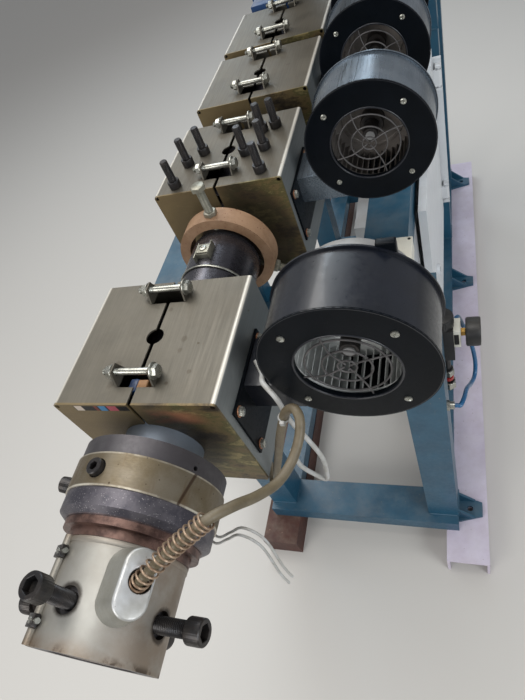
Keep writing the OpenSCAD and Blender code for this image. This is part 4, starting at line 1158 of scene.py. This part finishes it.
# %% [markdown]
# ## Gauge
# The gauge is a black turned case with a pale dial under a thin ring. It has
# 21 marks, every fifth one long, and the needle rests near zero. A mark is a
# flat strip that stands on the dial, drawn from two widths and a length.

# %% Gauge
DIAL = np.array([346.0, 585.0, 726.0])


def strip(angle, start, end, wide_in, wide_out, proud):
    """A flat strip from radius start to end at an angle, each end with its own half width."""
    up, side = (np.array([0, math.cos(a), math.sin(a)]) for a in (angle, angle + math.pi / 2))
    return grid(np.stack([np.stack([up * r - side * w, up * r + side * w]) + DIAL - proud * ACROSS
                          for r, w in ((start, wide_in), (end, wide_out))]))


case = turned([[0, 0], [5, 0], [22, 0], [24.4, 1.4], [25, 4], [25, 20], [24.2, 23.2], [22.6, 24], [21.6, 23.4],
               [21.2, 21.5], [0, 21.5]], 96)
piece("gauge_case", [moved(case, DIAL - 24 * ACROSS, ACROSS)], "black_plastic", replaces=["pressure_gauge"])
piece("gauge_dial", [moved(rod(20.8, 0, 0.4, 96), DIAL - 2.4 * ACROSS, ACROSS)], "dial_face", "cabinet_paint")
marks = [strip(math.radians(225 - 13.5 * k), 19.2 - (2.0 if k % 5 else 3.4), 19.2, 0.3, 0.3, 1.9)
         for k in range(21)]
marks.append(strip(math.radians(215), -4, 15, 0.8, 0.25, 1.6))
piece("gauge_marks", marks, "black_plastic")

# %% [markdown]
# ## Air regulator
# A ribbed knob tops the air regulator: its radius is a circle plus a ripple.
# A pale cover with a dark sight glass closes its side, and the fittings
# under it are brass, bright steel and a red collar.

# %% Air regulator
knob = np.array([[0, 23.2], [15.6, 23.2], [17.4, 22.2], [18.1, 20.4], [18.1, 7.0], [17.2, 6.0], [17.2, 0],
                 [0, 0]])
radii = np.broadcast_to(knob[:, :1], (len(knob), 144)).copy()
radii[3:5] += np.abs(np.sin(np.arange(144) * np.pi / 6)) * 0.7
piece("regulator_knob", [moved(turned(knob, 144, radii), [286, 585, 747.2])], "black_plastic")
piece("regulator_side", [slab([301.6, 569.2, 702.4], [314.2, 600.4, 745.6], 1.6)], "beige_plastic")
piece("sight_glass", [slab([303.6, 568.7, 711], [311.4, 570.2, 738], 0.5)], "dark_slot", "black_plastic")
piece("gauge_nut", [moved(hex_head(13, 7.4), [314.4, 585, 726], ACROSS, 10)], "brass", "zinc_steel")
piece("drain_nuts", [moved(hex_head(20, 14), [288, 585, 602.5], UP, 15),
                     moved(hex_head(23.4, 17), [288, 585, 561.5], UP, 4)], "zinc_steel")
piece("drain_collar", [moved(ring_of(5.9, 9.0, 0, 8, 0.4, 0.5, 48), [288, 585, 586])], "red_plastic",
      "black_plastic")

# %% [markdown]
# ## Small boxes and brackets
# The junction box has a lid with a screw in each corner. Two terminal blocks
# stand on the first heater, under its cover's window. A bracket holds the
# first blower's motor. On the cabinet's door a thin dark strip is painted
# shade for the latch's slot, and it moves with the door.

# %% Small boxes and brackets
piece("junction_lid", [slab([224.1, 544.6, 922.5], [254.9, 608.4, 930.5], 1.2)], "beige_plastic")
lid_screw = turned([[0, 0], [2.4, 0], [2.4, 0.5], [1.6, 0.9], [0, 0.9]], 24)
piece("lid_screws", [moved(lid_screw, [x, y, 930.1]) for x in (229, 250) for y in (550, 603)], "dark_slot",
      "black_plastic")
piece("blue_terminal", [slab([-19, 245, 1053], [-7, 262, 1075], 2.5)], "blue_paint")
piece("tan_terminal", [slab([-4, 244.6, 1053], [9, 257, 1080], 1.8)], "tan_board", "beige_plastic")
piece("motor_bracket", [slab([256, 334.4, 1138], [274, 343, 1166], 1.5),
                        slab([259, 342, 1138], [271, 356, 1152], 1.5)], "black_paint")
# Painted shade: a thin dark strip stands for the latch's slot.
piece("door_latch_slot_shade", [slab([272.2, 863.6, 593], [272.9, 866.4, 607], 0.3)], "dark_slot", "black_plastic",
      "side_door")

# %% [markdown]
# ## Welds
# The stand is welded from square tube. A weld is a tube whose radius swells
# and shrinks along its line, as the drops of metal froze one after another.
# Four beads run round each end of the legs.

# %% Welds
def weld(a, b, r=2.3):
    """A rippled bar from a to b: radius r (1 + 0.16 sin of the way walked, one swell each 3 mm)."""
    a, b = np.asarray(a, float), np.asarray(b, float)
    long = float(np.linalg.norm(b - a))
    t = np.linspace(0, 1, max(8, int(long / 1.1)))[:, None]
    return tube(a + (b - a) * t, r * (1 + 0.16 * np.sin(t[:, 0] * long * 2 * np.pi / 3)), 7)


welds = []
for y in (489, 1502, 1837):
    for x in (-204.5, 216.5 if y == 489 else 206.5):
        for z in (115.3, 829.7):
            welds += [weld([x + 2, y + k, z], [x + 68, y + k, z]) for k in (0, 70)]
            welds += [weld([x + k, y + 2, z], [x + k, y + 68, z]) for k in (0, 70)]
piece("stand_welds", welds, "teal_paint")

# %% [markdown]
# ## Drive end
# The gearbox gets its bolted cover and lifting eye, the motor its cooling
# fins and fan cowl, and the hopper the rolled rim that stiffens its edge.
# The fins stand round the motor, except where its box and its foot are.

# %% Drive end
piece("gearbox_lid", [slab([-112, 1385, 1159.5], [112, 1629, 1166], 1.5)], "blue_paint")
bolts = [moved(hex_head(17, 8), [x, y, 1166], UP, x + y) for x in (-98, 0, 98) for y in (1399, 1615)]
bolts += [moved(hex_head(13, 6), [47 * math.cos(a), 1287 + 47 * math.sin(a), 1098], UP, 20)
          for a in np.arange(6) * math.pi / 3]
bolts += [moved(hex_head(19, 9), [x, y, 926], UP, 8) for x in (-143, 143) for y in (1395, 1620)]
piece("drive_bolts", bolts, "zinc_steel")
eye_foot = turned([[0, 0], [11, 0], [11, 5], [7, 9], [0, 9]], 40)
piece("lifting_eye", [hoop([0, 1507, 1188], 15, 4.5, ACROSS), moved(eye_foot, [0, 1507, 1165.8])], "black_oxide")

MOTOR = np.array([0, 0, 1060])
angles = 7.5 * np.arange(48) + 3.75
free = [a for a in angles if not (58 < a < 122 or 238 < a < 302)]
piece("motor_fins", [laid(slab([-1.3, 1722, 97], [1.3, 1924, 111], 0.6, 2), a, MOTOR) for a in free],
      "motor_paint")
piece("motor_cowl", [hoop(MOTOR + 1967 * ALONG, r, 1.6, sides=8) for r in (18, 34, 50, 66, 82)], "black_paint")
piece("hopper_rim", [hoop([0, 1287, 1507], 169, 2.8, UP, 96)], "cover_sheet")
